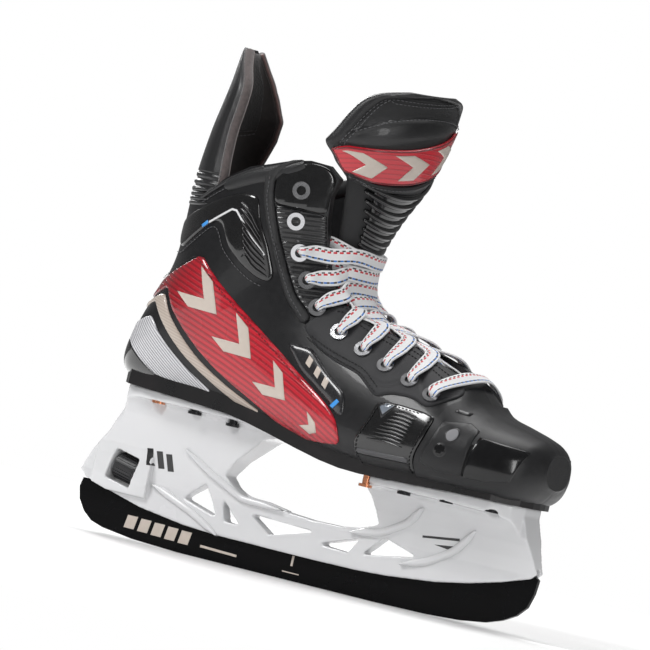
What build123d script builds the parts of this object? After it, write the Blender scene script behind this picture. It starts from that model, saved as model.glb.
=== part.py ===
from build123d import *
import math
import os

# One ice hockey skate, right foot. Units are millimetres.
# +Z is up, +X points to the toe, -Y is the right (outer) side of the skate.
# The origin is on the ice under the middle of the steel.

os.makedirs("parts", exist_ok=True)

# ---------------------------------------------------------------- driving sizes
SHELL_T = 4.0          # boot shell wall
THIN = 1.0             # decorative side panels
MID = 1.5              # eyestays, facings, bindings, heel cup
TOE_T = 2.4            # toe cap wall
SOLE_GAP = 3.0         # outsole thickness under the shell
STEEL_T = 3.0          # runner thickness
SLOT_CLEAR = 0.25      # side clearance of the runner in the holder slot
SLOT_DEPTH = 5.0       # how far the runner stands up into the holder
EYELET_OD = 10.3
EYELET_HOLE = 5.5
EYELET_BARREL = 6.9
LACE_D = 2.6           # lace drawn as a round cord of the same bulk
LACE_BEND = 2.4        # smallest bend radius of the lace centre line
RIVET_R = 2.2
RIVET_HEAD_R = 4.0
ROD_R = 2.5
WHEEL_R = 8.2
WHEEL_L = 14.0
AXIS_TILT = 12.0       # the thumbwheel rod dips towards the toe by this angle
WHEEL_X = -122.0
WHEEL_Z = 40.5
HOOK_X = 126.0         # front hook, about which the runner swings
HOOK_Z = 47.0

# Boot sections. Each lies in a plane through the Y direction, from a point on the
# sole or heel (low) to a point on the toe or instep (high):
# (low x, low z, high x, high z, half width, lower roundness, upper roundness, waist)
SECTIONS = [
    (146.0, 89.0, 145.5, 104.0, 13.0, 2.3, 2.3, 0.50),
    (143.5, 82.0, 142.5, 109.5, 25.0, 2.4, 2.3, 0.48),
    (136.5, 77.5, 134.5, 112.8, 34.0, 2.8, 2.3, 0.45),
    (122.0, 76.0, 122.0, 116.0, 41.5, 3.2, 2.3, 0.42),
    (101.0, 75.7, 103.0, 121.5, 46.5, 3.5, 2.2, 0.40),
    (76.0, 75.0, 88.0, 135.0, 48.5, 3.5, 2.1, 0.38),
    (45.0, 74.0, 66.0, 146.0, 46.5, 3.5, 2.0, 0.38),
    (15.0, 76.5, 39.0, 154.0, 42.0, 3.4, 2.0, 0.38),
    (-12.0, 82.0, 20.0, 162.0, 38.5, 3.2, 2.0, 0.40),
    (-42.0, 87.5, 8.0, 172.0, 37.0, 3.0, 2.0, 0.42),
    (-78.0, 90.5, 3.5, 182.0, 37.5, 2.9, 2.0, 0.45),
    (-116.0, 92.0, 2.0, 192.0, 39.5, 2.7, 2.0, 0.50),
    (-134.5, 99.0, 2.0, 201.0, 41.0, 2.4, 1.9, 0.52),
    (-133.0, 122.0, 2.5, 211.0, 43.0, 2.3, 1.9, 0.52),
    (-120.0, 160.0, 4.0, 226.0, 45.0, 2.1, 1.85, 0.54),
    (-118.5, 225.0, 8.0, 262.0, 46.5, 2.1, 1.85, 0.55),
]
SECTION_POINTS = 14
ROWS_BETWEEN = 3

# Underside of the outsole, and so also the top of the holder's two flanges.
SOLE_LINE = [
    (-140.0, 90.5), (-126.0, 89.8), (-95.0, 88.6), (-75.0, 87.5), (-54.0, 86.0),
    (-40.0, 83.6), (-24.0, 80.3), (-4.0, 75.8), (12.0, 72.8), (27.0, 71.0),
    (42.0, 70.6), (60.0, 71.2), (90.0, 72.6), (115.0, 73.4), (150.0, 73.8),
]


# ---------------------------------------------------------------- helpers
def flow(rows):
    """Add rows between the given ones on a smooth curve (a cubic spaced by distance)."""
    out = []
    last = len(rows) - 1
    for i in range(last):
        p1 = rows[i]
        p2 = rows[i + 1]
        p0 = rows[i - 1] if i > 0 else [2 * u - v for u, v in zip(p1, p2)]
        p3 = rows[i + 2] if i + 2 <= last else [2 * v - u for u, v in zip(p1, p2)]
        d01 = math.sqrt(math.dist(p0[:4], p1[:4]))
        d12 = math.sqrt(math.dist(p1[:4], p2[:4]))
        d23 = math.sqrt(math.dist(p2[:4], p3[:4]))
        for k in range(ROWS_BETWEEN):
            t = k / ROWS_BETWEEN
            row = []
            for a, b, c, d in zip(p0, p1, p2, p3):
                m1 = ((b - a) / d01 - (c - a) / (d01 + d12) + (c - b) / d12) * d12
                m2 = ((c - b) / d12 - (d - b) / (d12 + d23) + (d - c) / d23) * d12
                h1 = 2 * t ** 3 - 3 * t ** 2 + 1
                h2 = t ** 3 - 2 * t ** 2 + t
                h3 = 3 * t ** 2 - 2 * t ** 3
                h4 = t ** 3 - t ** 2
                row.append(h1 * b + h2 * m1 + h3 * c + h4 * m2)
            out.append(row)
    out.append(list(rows[last]))
    return out


def half_section(row, grow):
    """Points of the right half of one boot section, from low to high."""
    lx, lz, hx, hz, half_width, n_low, n_high, waist = row
    low = Vector(lx, 0, lz)
    high = Vector(hx, 0, hz)
    axis = (high - low).normalized()
    length = (high - low).length
    centre = low + axis * (waist * length)
    points = []
    for i in range(SECTION_POINTS + 1):
        t = math.pi * i / SECTION_POINTS
        a = -math.cos(t)
        n = n_low if a < 0 else n_high
        reach = (waist if a < 0 else 1 - waist) * length + grow
        along = math.copysign(abs(a) ** (2 / n), a) * reach
        across = 0.0 if i in (0, SECTION_POINTS) else math.sin(t) ** (2 / n) * (half_width + grow)
        p = centre + axis * along
        points.append(Vector(p.X, -across, p.Z))
    return points


def solid_under(grid):
    """A solid between a surface through a grid of points and the plane y = 0."""
    skin = Face.make_surface_from_array_of_points(grid, tol=0.05, min_deg=3, max_deg=3)
    middle = []
    ends = []
    for edge in skin.edges():
        group = middle if abs(edge.position_at(0.5).Y) < 0.5 else ends
        group.append(edge)
    chords = [Line(e.start_point(), e.end_point()) for e in ends]
    faces = [skin]
    for edge, chord in zip(ends, chords):
        faces.append(Face(Wire([edge, chord])))
    faces.append(Face(Wire(middle + chords)))
    return Solid(Shell(faces))


def boot_form(grow, first=0):
    """The right half of the boot's outer form, grown or shrunk, from a chosen row on."""
    rows = flow([list(row) for row in SECTIONS])[first:]
    grid = [half_section(row, grow) for row in rows]
    if first == 0:
        for i, share in enumerate((1.0, 0.6, 0.3)):
            grid[i] = [p + Vector(grow * share, 0, 0) for p in grid[i]]
    return solid_under(grid)


def side_prism(points, y0=-90, y1=-0.0):
    """A closed outline in the X-Z plane, swept from y0 to y1."""
    line = Polyline(*[(x, y0, z) for x, z in points], close=True)
    return Solid.extrude(Face(Wire(line)), Vector(0, y1 - y0, 0))


def plan_prism(points, z0, z1):
    """A closed outline in the X-Y plane, swept from z0 to z1."""
    line = Polyline(*[(x, y, z0) for x, y in points], close=True)
    return Solid.extrude(Face(Wire(line)), Vector(0, 0, z1 - z0))


def front_prism(points, x0, x1):
    """A closed outline in the Y-Z plane, swept from x0 to x1."""
    line = Polyline(*[(x0, y, z) for y, z in points], close=True)
    return Solid.extrude(Face(Wire(line)), Vector(x1 - x0, 0, 0))


def mirror(shape):
    return shape.mirror(Plane.XZ)


def flip(v):
    return Vector(v.X, -v.Y, v.Z)


def biggest(shape):
    return max(shape.solids(), key=lambda s: s.volume)


def keep(name, shape, one=True):
    """Write a node. A part that is one piece keeps only that piece."""
    if one:
        shape = biggest(shape)
        shape = Solid(shape.wrapped)
    else:
        shape = Compound(children=[Solid(s.wrapped) for s in shape.solids() if s.volume > 0.5])
    shape.label = name
    export_step(shape, "parts/" + name + ".step")
    count = len(shape.solids())
    print(name, "solids", count, "volume", round(shape.volume), "valid", shape.is_valid, flush=True)
    return shape


def keep_whole(name, half):
    """A part made as its right half and completed by its mirror image."""
    half = biggest(half)
    return keep(name, half + mirror(half))


def keep_pair(name, right, one=True):
    keep(name + "_right", right, one)
    keep(name + "_left", mirror(right), one)


# ---------------------------------------------------------------- boot skins (right half)
form_0 = boot_form(0.0)
form_in = boot_form(-SHELL_T)
form_thin = boot_form(THIN)
form_mid = boot_form(MID)
form_toe = boot_form(TOE_T)
skin_thin = form_thin - form_0
skin_mid = form_mid - form_0
skin_toe = form_toe - form_0
print("forms done", flush=True)

# ---------------------------------------------------------------- outlines (x, z)
COLLAR_LINE = [
    (-150, 202), (-112, 203), (-100, 205), (-92, 210), (-82, 219), (-66, 228.5),
    (-53, 232.5), (-42, 236.5), (-30, 239.5), (-20, 239), (-14, 233),
]
THROAT_LINE = [
    (-14, 233), (-16.5, 222), (-16.5, 208), (-15, 194), (-9.5, 178), (-1, 166.5),
    (12, 158.5), (30, 153.0), (48, 148.5), (66, 143.0), (80, 138.0), (89, 131.0),
]


def eyelet_sites():
    """Eyelet centres on the outer surface of the right side: point and outward normal."""
    centres = [
        (-31.3, 221.5), (-31.2, 203.5), (-27.3, 186.4), (-20.2, 171.8), (-10.4, 157.7),
        (6.9, 147.0), (24.8, 140.5), (42.5, 134.7), (61.0, 129.5), (77.5, 124.2),
    ]
    sites = []
    for x, z in centres:
        hits = form_mid.find_intersection_points(Axis((x, 0, z), (0, -1, 0)))
        hit = [h for h in hits if h[0].Y < -3][0]
        normal = hit[1] if hit[1].Y < 0 else hit[1] * -1
        sites.append((hit[0], normal))
    return sites


EYELETS = eyelet_sites()


# ---------------------------------------------------------------- rivets and sole
def sole_height(x):
    for (xa, za), (xb, zb) in zip(SOLE_LINE, SOLE_LINE[1:]):
        if xa <= x <= xb:
            return za + (zb - za) * (x - xa) / (xb - xa)
    return SOLE_LINE[-1][1]


RIVETS_COPPER = [(-104.0, 17.5), (42.5, 25.5)]
RIVETS_BLACK = [(-79.0, 18.5), (-54.0, 17.0), (68.0, 26.5), (95.5, 26.5), (122.0, 21.0)]


def rivet(x, y):
    """A rivet from its head under the flange to its clenched end inside the boot."""
    top = sole_height(x)
    seat = top - 5.2
    height = top + 8.6 - seat
    head = Pos(x, y, seat - 0.8) * Cylinder(RIVET_HEAD_R, 1.6)
    shank = Pos(x, y, seat + height / 2) * Cylinder(RIVET_R, height)
    dimple = Pos(x, y, seat - 1.5) * Cylinder(1.5, 1.0)
    return head + shank - dimple


def rivet_bores(radius, sides=(-1,)):
    return [Pos(x, s * y, 85) * Cylinder(radius, 60) for x, y in RIVETS_COPPER + RIVETS_BLACK for s in sides]


for name, places in (("rivets_copper", RIVETS_COPPER), ("rivets_black", RIVETS_BLACK)):
    keep(name, Compound(children=[rivet(x, s * y) for x, y in places for s in (-1, 1)]), one=False)

eyelet_bores = []
for point, normal in EYELETS:
    place = Plane(origin=point, z_dir=normal).location
    eyelet_bores.append(place * Cylinder(EYELET_BARREL / 2 + 0.1, 18))

FOOTPRINT = [
    (-133, 0), (-131, -12), (-124, -22), (-105, -28), (-75, -28), (-40, -27), (0, -29), (40, -36),
    (75, -40.5),
    (105, -39), (125, -33), (138, -20), (141, -8), (141.5, 0),
]
above_collar = side_prism(COLLAR_LINE + THROAT_LINE[1:] + [(89, 300), (-150, 300)])
above_sole = side_prism(SOLE_LINE + [(150, 400), (-140, 400)])
outsole_region = plan_prism(FOOTPRINT, 60, 102) & above_sole

THROAT_SLOT = [
    (-60, 0.5), (-60, -26), (-20, -26), (-14, -24.2), (-6, -21.5), (4, -21), (20, -20.6), (30, -18.6),
    (44, -15.5), (68, -15.5),
    (77, -12), (82, -5), (82.5, 0.5),
]
throat_slot = plan_prism(THROAT_SLOT, 125, 300)
shell = form_0 - form_in - above_collar - throat_slot - eyelet_bores - rivet_bores(RIVET_R)
keep_whole("boot_shell", shell)
keep_whole("outsole", outsole_region - form_0 - rivet_bores(RIVET_R))

# ---------------------------------------------------------------- inside the boot
BOARD_PLAN = [(x * 0.93 - 1.5, y * 0.93) for x, y in FOOTPRINT]
under_board = side_prism([(x, z + 9.6) for x, z in SOLE_LINE] + [(150, 60), (-140, 60)])
under_bed = side_prism([(x, z + 13.6) for x, z in SOLE_LINE] + [(150, 60), (-140, 60)])
board_region = plan_prism(BOARD_PLAN, 60, 130)
keep_whole("insole_board", (board_region & form_in & under_board) - rivet_bores(RIVET_R))
form_bed = boot_form(-SHELL_T - 3.7, 5)
keep_whole("footbed", (board_region & form_bed & under_bed) - under_board)

LINER_ZONE = [
    (-150, 200), (-112, 201), (-100, 203), (-84, 205), (-70, 205), (-52, 204), (-45, 196), (-43, 180),
    (-36, 166),
    (-24, 153), (-4, 141), (20, 131), (40, 122), (60, 112), (80, 106), (80, 92), (60, 91), (20, 92),
    (-20, 101),
    (-60, 107), (-100, 109), (-150, 112),
]
form_liner = boot_form(-SHELL_T - 3.0, 5)
liner_core = form_liner + side_prism([(78, 60), (160, 60), (160, 140), (78, 140)])
liner = ((form_in - liner_core) & side_prism(LINER_ZONE)) - under_bed
keep_whole("liner", liner)

ROLL_ZONE = [
    (-79, 206.5), (-79, 220.6), (-66, 229.8), (-53, 233.9), (-42, 237.9), (-34, 239.6), (-33, 228),
    (-44, 223),
    (-56, 216), (-66, 206.5),
]
form_roll = boot_form(-SHELL_T - 9.0, 27)
form_roll_out = boot_form(-SHELL_T - 0.1, 27)
keep_pair("collar_pad", (form_roll_out - form_roll) & side_prism(ROLL_ZONE))

# ---------------------------------------------------------------- outer panels
toe_zone = side_prism([
    (94, 126), (90, 121), (87.5, 112), (84.5, 100), (81, 90), (80.4, 84), (82, 60), (160, 60), (160, 130),
])
insert_pocket = side_prism([(112, 102), (141, 99.5), (124, 84), (93, 83)], -90, -20)
PLUG_PLACES = [(99.0, 103.7), (95.0, 95.0)]
plug_bores = [Pos(x, -45, z) * Rot(90, 0, 0) * Cylinder(3.4, 20) for x, z in PLUG_PLACES]
toe = (skin_toe & toe_zone) - outsole_region - ((form_toe - form_mid) & insert_pocket) - plug_bores
keep_whole("toe_cap", toe)
plugs = [biggest((skin_toe & bore) - form_0) for bore in plug_bores]
keep("toe_cap_plugs", Compound(children=plugs + [mirror(p) for p in plugs]), one=False)

heel_zone = side_prism([
    (-170, 115), (-131, 115), (-122, 108.6), (-113, 102.5), (-103, 96.5), (-92, 92.5), (-80, 90.5),
    (-62, 89.0),
    (-62, 60), (-170, 60),
])
keep_whole("heel_cup", (skin_mid & heel_zone) - outsole_region)

WING = [
    (-160, 115.3), (-131, 115.3), (-122, 108.9), (-113, 102.8), (-103, 96.8), (-92, 92.8), (-80, 90.8),
    (-50, 89.6),
    (-56, 95), (-66, 100), (-76, 106), (-86, 112.5), (-96, 119.5), (-105.5, 127), (-111, 134), (-124, 128.2),
    (-160, 128.2),
]
STRIPE = [
    (-150, 134.5), (-126, 134.5), (-114, 141), (-104.5, 130), (-95, 120.8), (-85, 112.8), (-74, 106),
    (-62, 99.5),
    (-50, 93.6), (-38, 89.4), (-18, 87.8), (-30, 92), (-43, 98.4), (-55, 104), (-66, 110), (-77, 117.5),
    (-88, 126.5), (-99, 137), (-107, 149.5), (-123, 140.3), (-150, 140.3),
]
SIDE_PANEL = [
    (-150, 141), (-123, 141), (-106.6, 150.4), (-98.5, 137.8), (-87.6, 127.3), (-76.6, 118.2), (-65.6, 110.7),
    (-54.6, 104.7), (-42.6, 99.1), (-29.6, 92.7), (-17.5, 88.5), (-2, 84.6), (10, 84.8), (24, 87), (21, 98),
    (14, 104.5), (4, 111), (-10, 119), (-24, 128), (-36, 135.5), (-47, 142.7), (-58, 150), (-70, 159),
    (-86, 172.5),
    (-118, 152), (-150, 152),
]
SPEED_PLATE = [
    (-21, 134.3), (-5, 134.3), (9, 122.5), (24.5, 113.4), (26.5, 100.5), (22.4, 98.6), (15, 105.4),
    (5, 111.8),
    (-9, 119.8),
]
BADGE = [
    (-107, 173.6), (-83.5, 193.6), (-77, 193), (-70, 181), (-60, 173), (-50, 167), (-42, 165.2),
    (-39, 170), (-45, 187),
    (-52, 199.5), (-56, 213), (-68, 213), (-84, 206), (-100, 197), (-113, 190), (-113, 178),
]
keep_pair("stripe", (skin_thin & side_prism(STRIPE)) - outsole_region)
keep_pair("side_panel", (skin_thin & side_prism(SIDE_PANEL)) - outsole_region)
keep_pair("speed_plate", skin_thin & side_prism(SPEED_PLATE))
keep_pair("ankle_badge", skin_thin & side_prism(BADGE))
keep_pair("heel_wing", (skin_thin & side_prism(WING)) - outsole_region)

FACING = [
    (-40, 248), (-49, 236), (-55, 226), (-53.5, 214), (-50, 204), (-44, 188), (-38, 173), (-29, 158),
    (-16, 145.6),
    (-4, 161), (6, 172), (0, 250),
]
CAP_ZONE = [(-60, 210), (0, 210), (0, 260), (-60, 260)]
BIND = [
    (-40, 248), (-49, 236), (-55, 226), (-53.5, 214), (-50, 204), (-44, 188), (-38, 173), (-29, 158),
    (-16, 145.6),
    (-11.5, 151), (-24.5, 161.5), (-32.5, 175), (-38.2, 190), (-43.8, 206), (-47, 216), (-48, 225),
    (-43, 233),
    (-31, 247),
]
EYESTAY = [
    (-15.6, 145.2), (-2, 135), (10, 130), (28, 126), (44, 115.4), (54, 119.4), (68, 119.8), (78, 116),
    (85.3, 121.4),
    (92.3, 126.4), (92, 140), (60, 170), (10, 176), (-3.6, 160.6),
]
skin_top = skin_mid - above_collar
bind = side_prism(BIND)
keep_pair("binding", skin_top & bind)
keep_pair("facing_cap", (skin_top & side_prism(FACING) & side_prism(CAP_ZONE)) - bind - eyelet_bores)
keep_pair("facing", (skin_top & side_prism(FACING)) - side_prism(CAP_ZONE) - bind - eyelet_bores)
keep_pair("eyestay", (skin_top & side_prism(EYESTAY)) - toe_zone - eyelet_bores)

GUARD = [
    (46, 111), (44.4, 104), (37.6, 91), (37.8, 84), (41.5, 76), (81, 76), (79.8, 84), (80.4, 90), (83.9, 100),
    (86.6, 111), (85.5, 113.4), (78, 114.4), (62, 115.4), (54, 115.2), (48, 113.6),
]
keep_pair("vamp_guard", (skin_thin & side_prism(GUARD)) - toe_zone - outsole_region)

rings = []
for point, normal in EYELETS:
    place = Plane(origin=point, z_dir=normal).location
    ring = Pos(0, 0, 0.75) * Cylinder(EYELET_OD / 2, 0.9)
    barrel = Pos(0, 0, -2.45) * Cylinder(EYELET_BARREL / 2, 6.1)
    rings.append(place * (ring + barrel - Cylinder(EYELET_HOLE / 2, 30)))
keep_pair("eyelets", Compound(children=rings), one=False)

# ---------------------------------------------------------------- runner
RUNNER_BOTTOM = [
    (151.5, 34.7), (150.8, 26.4), (148.3, 18), (142.7, 12), (134.6, 7.5), (124.4, 4.1), (107.7, 1.7),
    (87, 0.5),
    (55, 0), (-78.5, 0), (-109.5, 1.2), (-130, 3.6), (-138.4, 6), (-144.5, 10.6), (-149, 17), (-150.8, 24),
    (-149.5, 29.5),
]
HOLDER_BOTTOM = [
    (-147, 30.4), (-128, 25.4), (-107.5, 20.4), (-76.5, 16.4), (-53, 15.3), (3, 15.1), (37, 15.3),
    (57.5, 16.4),
    (89, 19.7), (109.7, 23.6), (130, 28.8), (147.5, 34.5),
]
CHIN_SLOPE = 1.83      # rise over run of the tang face the draw hook pulls on
blade_top = [(x, z + SLOT_DEPTH) for x, z in HOLDER_BOTTOM]
blade_outline = RUNNER_BOTTOM + blade_top[1:-1] + [(147.0, 38.0)]
blade = side_prism(blade_outline, -STEEL_T / 2, STEEL_T / 2)
front_tang = side_prism(
    [(117, 26), (119, 44), (122, 50), (130, 50), (133, 44), (134, 30)], -STEEL_T / 2, STEEL_T / 2)
TANG_X = -93.6         # top front corner of the rear tang
rear_tang = side_prism(
    [(TANG_X - 11, 20), (TANG_X - 11, 38.5), (TANG_X, 38.5),
     (TANG_X - 9 / CHIN_SLOPE, 29.5), (TANG_X - 5, 18)],
    -STEEL_T / 2, STEEL_T / 2)
pivot = Pos(HOOK_X, 0, HOOK_Z - 3) * Rot(90, 0, 0) * Cylinder(2.55, 10)
mid_mark = Pos(-4, -1.5, 12) * Box(1.2, 0.6, 6)
lower_mark = Pos(-4, -1.5, 4.3) * Box(5, 0.6, 0.8)
runner = blade + front_tang + rear_tang - pivot - mid_mark - lower_mark
keep("runner", runner)

# ---------------------------------------------------------------- draw bolt, thumbwheel, washers
TO_AXIS = Pos(WHEEL_X, 0, WHEEL_Z) * Rot(0, AXIS_TILT, 0)


def along_axis(shape):
    """Place a shape drawn about the local X axis on the tilted thumbwheel axis."""
    return TO_AXIS * shape


def x_cylinder(radius, x0, x1):
    return Pos((x0 + x1) / 2, 0, 0) * Rot(0, 90, 0) * Cylinder(radius, x1 - x0)


rod = along_axis(x_cylinder(ROD_R, -23.5, 12.0))
bar = side_prism(
    [(-112.2, 36.0), (-112.2, 44.5), (-87.6, 44.5), (-87.6, 40.2), (-109.2, 40.2), (-109.2, 36.0)], -2.2, 2.2)
CLAW_GAP = 0.35
claw_back = TANG_X + CLAW_GAP
claw = side_prism(
    [(claw_back + 1.9 / CHIN_SLOPE, 40.4), (claw_back - 8.6 / CHIN_SLOPE, 29.9), (-94.0, 29.0), (-87.6, 31.5),
     (-87.6, 40.4)], -2.2, 2.2)
draw_bolt = rod + bar + claw
keep("draw_bolt", draw_bolt)

wheel = x_cylinder(WHEEL_R - 0.5, -WHEEL_L / 2, WHEEL_L / 2)
RIBS = 24
for i in range(RIBS):
    angle = 360 / RIBS * i
    rib = Rot(angle, 0, 0) * Pos(0, 0, WHEEL_R - 0.6) * Box(WHEEL_L - 1.6, 0.9, 1.2)
    wheel = wheel + rib
wheel = wheel - x_cylinder(ROD_R + 0.15, -20, 20)
keep("thumbwheel", along_axis(wheel))
washers = []
for x in (-WHEEL_L / 2 - 0.75, WHEEL_L / 2 + 0.75):
    washers.append(along_axis(x_cylinder(6.0, x - 0.5, x + 0.5) - x_cylinder(ROD_R + 0.25, -20, 20)))
keep("wheel_washers", Compound(children=washers), one=False)

# ---------------------------------------------------------------- holder
REAR_EDGE = [(-147, 30.4), (-151.5, 34.5), (-145.5, 47), (-135, 62), (-126.5, 80), (-128, 84), (-128, 98)]
UPPER_BAR = [
    (-26, 98), (-26, 78.5), (-34, 76), (-44, 66), (-50, 60), (-56, 50.4), (-50, 45.2), (-43, 40.8),
    (-26, 39.3),
    (3, 37.5), (23, 37.9), (35, 39.7), (47, 44.0), (44, 52.3), (40.5, 61), (37.5, 66.5), (37.5, 98),
]
FRONT_EDGE = [(138, 98), (138, 69), (142, 58), (147, 47), (151, 38), (147.5, 34.5)]
outline = list(reversed(HOLDER_BOTTOM)) + REAR_EDGE[1:] + UPPER_BAR + FRONT_EDGE[:-1]
WINDOWS = [
    [(-81, 32), (-68, 43), (-57, 25.5)],
    [(-56, 37.5), (-41, 24), (-51.5, 24.5)],
    [(-37, 32.5), (9, 31), (-21, 23)],
    [(10.5, 25), (37, 33.6), (31, 24)],
    [(39.5, 25), (52, 37.5), (75, 31)],
]
REAR_WIDTH = [
    (0, 10), (5.2, 10), (5.2, 28), (4.4, 36), (5.8, 44), (8, 54), (10, 64), (12, 74), (15, 80.5), (18, 83),
    (26, 84.2), (26, 110), (0, 110),
]
FRONT_WIDTH = [
    (0, 10), (5.2, 10), (5.2, 28), (4.4, 36), (6, 44), (8.5, 52), (12, 59), (17, 64), (22, 66), (32, 67.2),
    (32, 110), (0, 110),
]
WHEEL_HOUSING = [(0, 24), (8.2, 26), (9.8, 34), (9.8, 47), (7, 58), (0, 58)]


def both_sides(points, x0, x1):
    half = [p for p in points if p[0] > 0]
    return front_prism([(-y, z) for y, z in half] + [(y, z) for y, z in reversed(half)], x0, x1)


REAR_PLAN = [(-129, 9), (-126, 16), (-115, 21), (-95, 24.5), (-70, 24.5), (-50, 22.5), (-34, 18), (-24, 11)]
FRONT_PLAN = [(36, 18), (40, 25), (52, 30), (75, 32), (105, 31.5), (122, 26), (133, 18), (140, 8)]
MIDDLE_PLAN = [(-160, 10.5), (160, 10.5)]


def plan_both(points):
    return plan_prism([(x, -y) for x, y in points] + [(x, y) for x, y in reversed(points)], 0, 120)


body = side_prism(outline, -34, 34)
widths = both_sides(REAR_WIDTH, -160, 5) + both_sides(FRONT_WIDTH, 5, 160)
widths = widths + both_sides(WHEEL_HOUSING, -141, -104)
plans = plan_both(REAR_PLAN) + plan_both(FRONT_PLAN) + plan_both(MIDDLE_PLAN)
holder = body & widths & plans
sole_cut = side_prism(SOLE_LINE + [(150, 400), (-160, 400), (-160, 90.5)], -60, 60)
holder = holder - sole_cut
for window in WINDOWS:
    holder = holder - side_prism(window, -40, 40)
slot = side_prism(
    [(x, z - 0.5) for x, z in HOLDER_BOTTOM[1:-1]] + [(160, 30), (160, 40.8), (147.5, 40.8)]
    + [(x, z + SLOT_DEPTH + 1.3) for x, z in reversed(HOLDER_BOTTOM[1:-1])]
    + [(-147, 36.8), (-160, 36.8), (-160, 25)],
    -STEEL_T / 2 - SLOT_CLEAR, STEEL_T / 2 + SLOT_CLEAR)
front_pocket = side_prism(
    [(114, 24), (116.5, 45), (120, 51.5), (131.5, 51.5), (135.5, 45), (137, 28)],
    -STEEL_T / 2 - SLOT_CLEAR, STEEL_T / 2 + SLOT_CLEAR)
rear_pocket = side_prism([(-114.0, 19), (-114.0, 47), (-83.0, 47), (-83.0, 19)], -2.6, 2.6)
hook_pin = Pos(HOOK_X, 0, HOOK_Z - 3) * Rot(90, 0, 0) * Cylinder(2.3, 8)
wheel_window = along_axis(Pos(0, 0, 0) * Box(WHEEL_L + 2.9, 30, 18.2))
rod_bore = along_axis(x_cylinder(ROD_R + 0.3, -40, 20))
holder = holder - slot - front_pocket - rear_pocket - wheel_window - rod_bore
holder = holder + hook_pin
for x, y in RIVETS_COPPER + RIVETS_BLACK:
    for s in (-1, 1):
        seat = sole_height(x) - 5.2
        holder = holder - Pos(x, s * y, seat - 5) * Cylinder(RIVET_HEAD_R + 0.8, 10)
        holder = holder - Pos(x, s * y, 85) * Cylinder(RIVET_R, 60)
keep("holder", holder)

# ---------------------------------------------------------------- tongue and guard
# Rows of the tongue, bottom to top: front middle point (x, y, z), arc radius, the arc's two
# end angles, yaw and roll of the row in degrees, and thickness. The top leans to the right.
TONGUE = [
    (64.0, 0.0, 136.4, 19, -50, 50, 0, 0, 3.5),
    (45.0, 0.0, 143.4, 19, -52, 52, 0, 0, 4.0),
    (24.0, 0.0, 150.9, 19, -55, 55, 0, 0, 4.5),
    (9.0, 0.0, 159.8, 19, -58, 58, 0, 0, 5.0),
    (1.5, 0.0, 170.5, 18.5, -66, 66, 0, 0, 6.0),
    (0.5, 0.0, 184.0, 18.5, -70, 70, 0, 0, 7.0),
    (3.0, 0.0, 200.0, 21, -66, 66, 2, 2, 7.5),
    (6.5, -1.0, 216.0, 26, -62, 62, 5, 5, 7.5),
    (13.5, -3.0, 234.0, 42, -50, 50, 8, 10, 7.5),
    (19.0, -6.0, 250.0, 54, -60, 45, 12, 15, 7.5),
    (23.5, -8.5, 264.0, 58, -61, 42, 14, 17, 7.5),
    (25.0, -8.5, 277.0, 60, -56, 40, 14, 14, 7.5),
    (26.0, -8.5, 287.0, 60, -44, 28, 14, 8, 7.0),
    (26.5, -9.0, 292.0, 60, -22, 14, 14, 5, 6.0),
]


def tongue_section(i, shrink=0.0, out=0.0, ends=None):
    """Front points of one row of the tongue and its inward direction."""
    x, y, z, radius, a0, a1, yaw, roll, thick = TONGUE[i]
    ahead = TONGUE[min(i + 1, len(TONGUE) - 1)]
    behind = TONGUE[max(i - 1, 0)]
    run = Vector(ahead[0] - behind[0], 0, ahead[2] - behind[2]).normalized()
    front = Vector(run.Z, 0, -run.X).rotate(Axis.Z, -yaw)
    side = Vector(0, 1, 0).rotate(Axis.Z, -yaw).rotate(Axis.X, roll)
    if ends:
        a0, a1 = ends
    points = []
    steps = 12
    for k in range(steps + 1):
        a = math.radians(a0 + (a1 - a0) * k / steps)
        a -= math.copysign(min(abs(a), shrink / radius), a) * abs(2 * k / steps - 1)
        r = radius + out
        p = Vector(x, y, z) + front * (out - r * (1 - math.cos(a))) + side * (r * math.sin(a))
        points.append(p)
    return points, front, thick


def tongue_strip(rows, shrink=0.0, out=0.0, thick=None, ends=None):
    """A curved strip of the tongue through the given rows, as a ruled solid."""
    wires = []
    for i in rows:
        points, front, own = tongue_section(i, shrink, out, ends)
        inner, _, _ = tongue_section(i, shrink + 1.5, out, ends)
        t = own if thick is None else thick
        x, y, z, radius = TONGUE[i][:4]
        axis = Vector(x, y, z) - front * radius
        back = [p - front * t * 0.55 + (axis - p).normalized() * t * 0.45 for p in inner]
        wires.append(Wire([
            Spline(*points), Line(points[-1], back[-1]), Spline(*reversed(back)), Line(back[0], points[0])]))
    parts = None
    for a, b in zip(wires, wires[1:]):
        block = Solid.make_loft([a, b], ruled=True)
        parts = block if parts is None else parts + block
    return parts


HINGE_CUT = 226.0
whole = tongue_strip(range(0, len(TONGUE)))
below = side_prism([(-120, 60), (120, 60), (120, HINGE_CUT), (-120, HINGE_CUT)], -90, 90)
above = side_prism([(-120, HINGE_CUT + 0.5), (120, HINGE_CUT + 0.5), (120, 330), (-120, 330)], -90, 90)
lower = whole & below
upper = whole & above
keep("tongue_lower", lower)
keep("tongue_upper", upper)
label = tongue_strip([8, 9, 10, 11], out=2.2, thick=1.8, ends=(-48, 44))
LABEL_OUTLINE = [(-48, 229), (-36, 230), (32, 251), (44, 256), (41, 275), (30, 273), (-36, 251), (-46, 247)]
keep("tongue_label", label & front_prism(LABEL_OUTLINE, -40, 60))
shield = tongue_strip([5, 6, 7, 8], out=3.0, thick=2.2, ends=(-44, 44)) & side_prism(
    [(-60, 198), (60, 198), (60, HINGE_CUT), (-60, HINGE_CUT)], -90, 90)
keep("tongue_shield", shield)
print("tongue done", flush=True)

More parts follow.
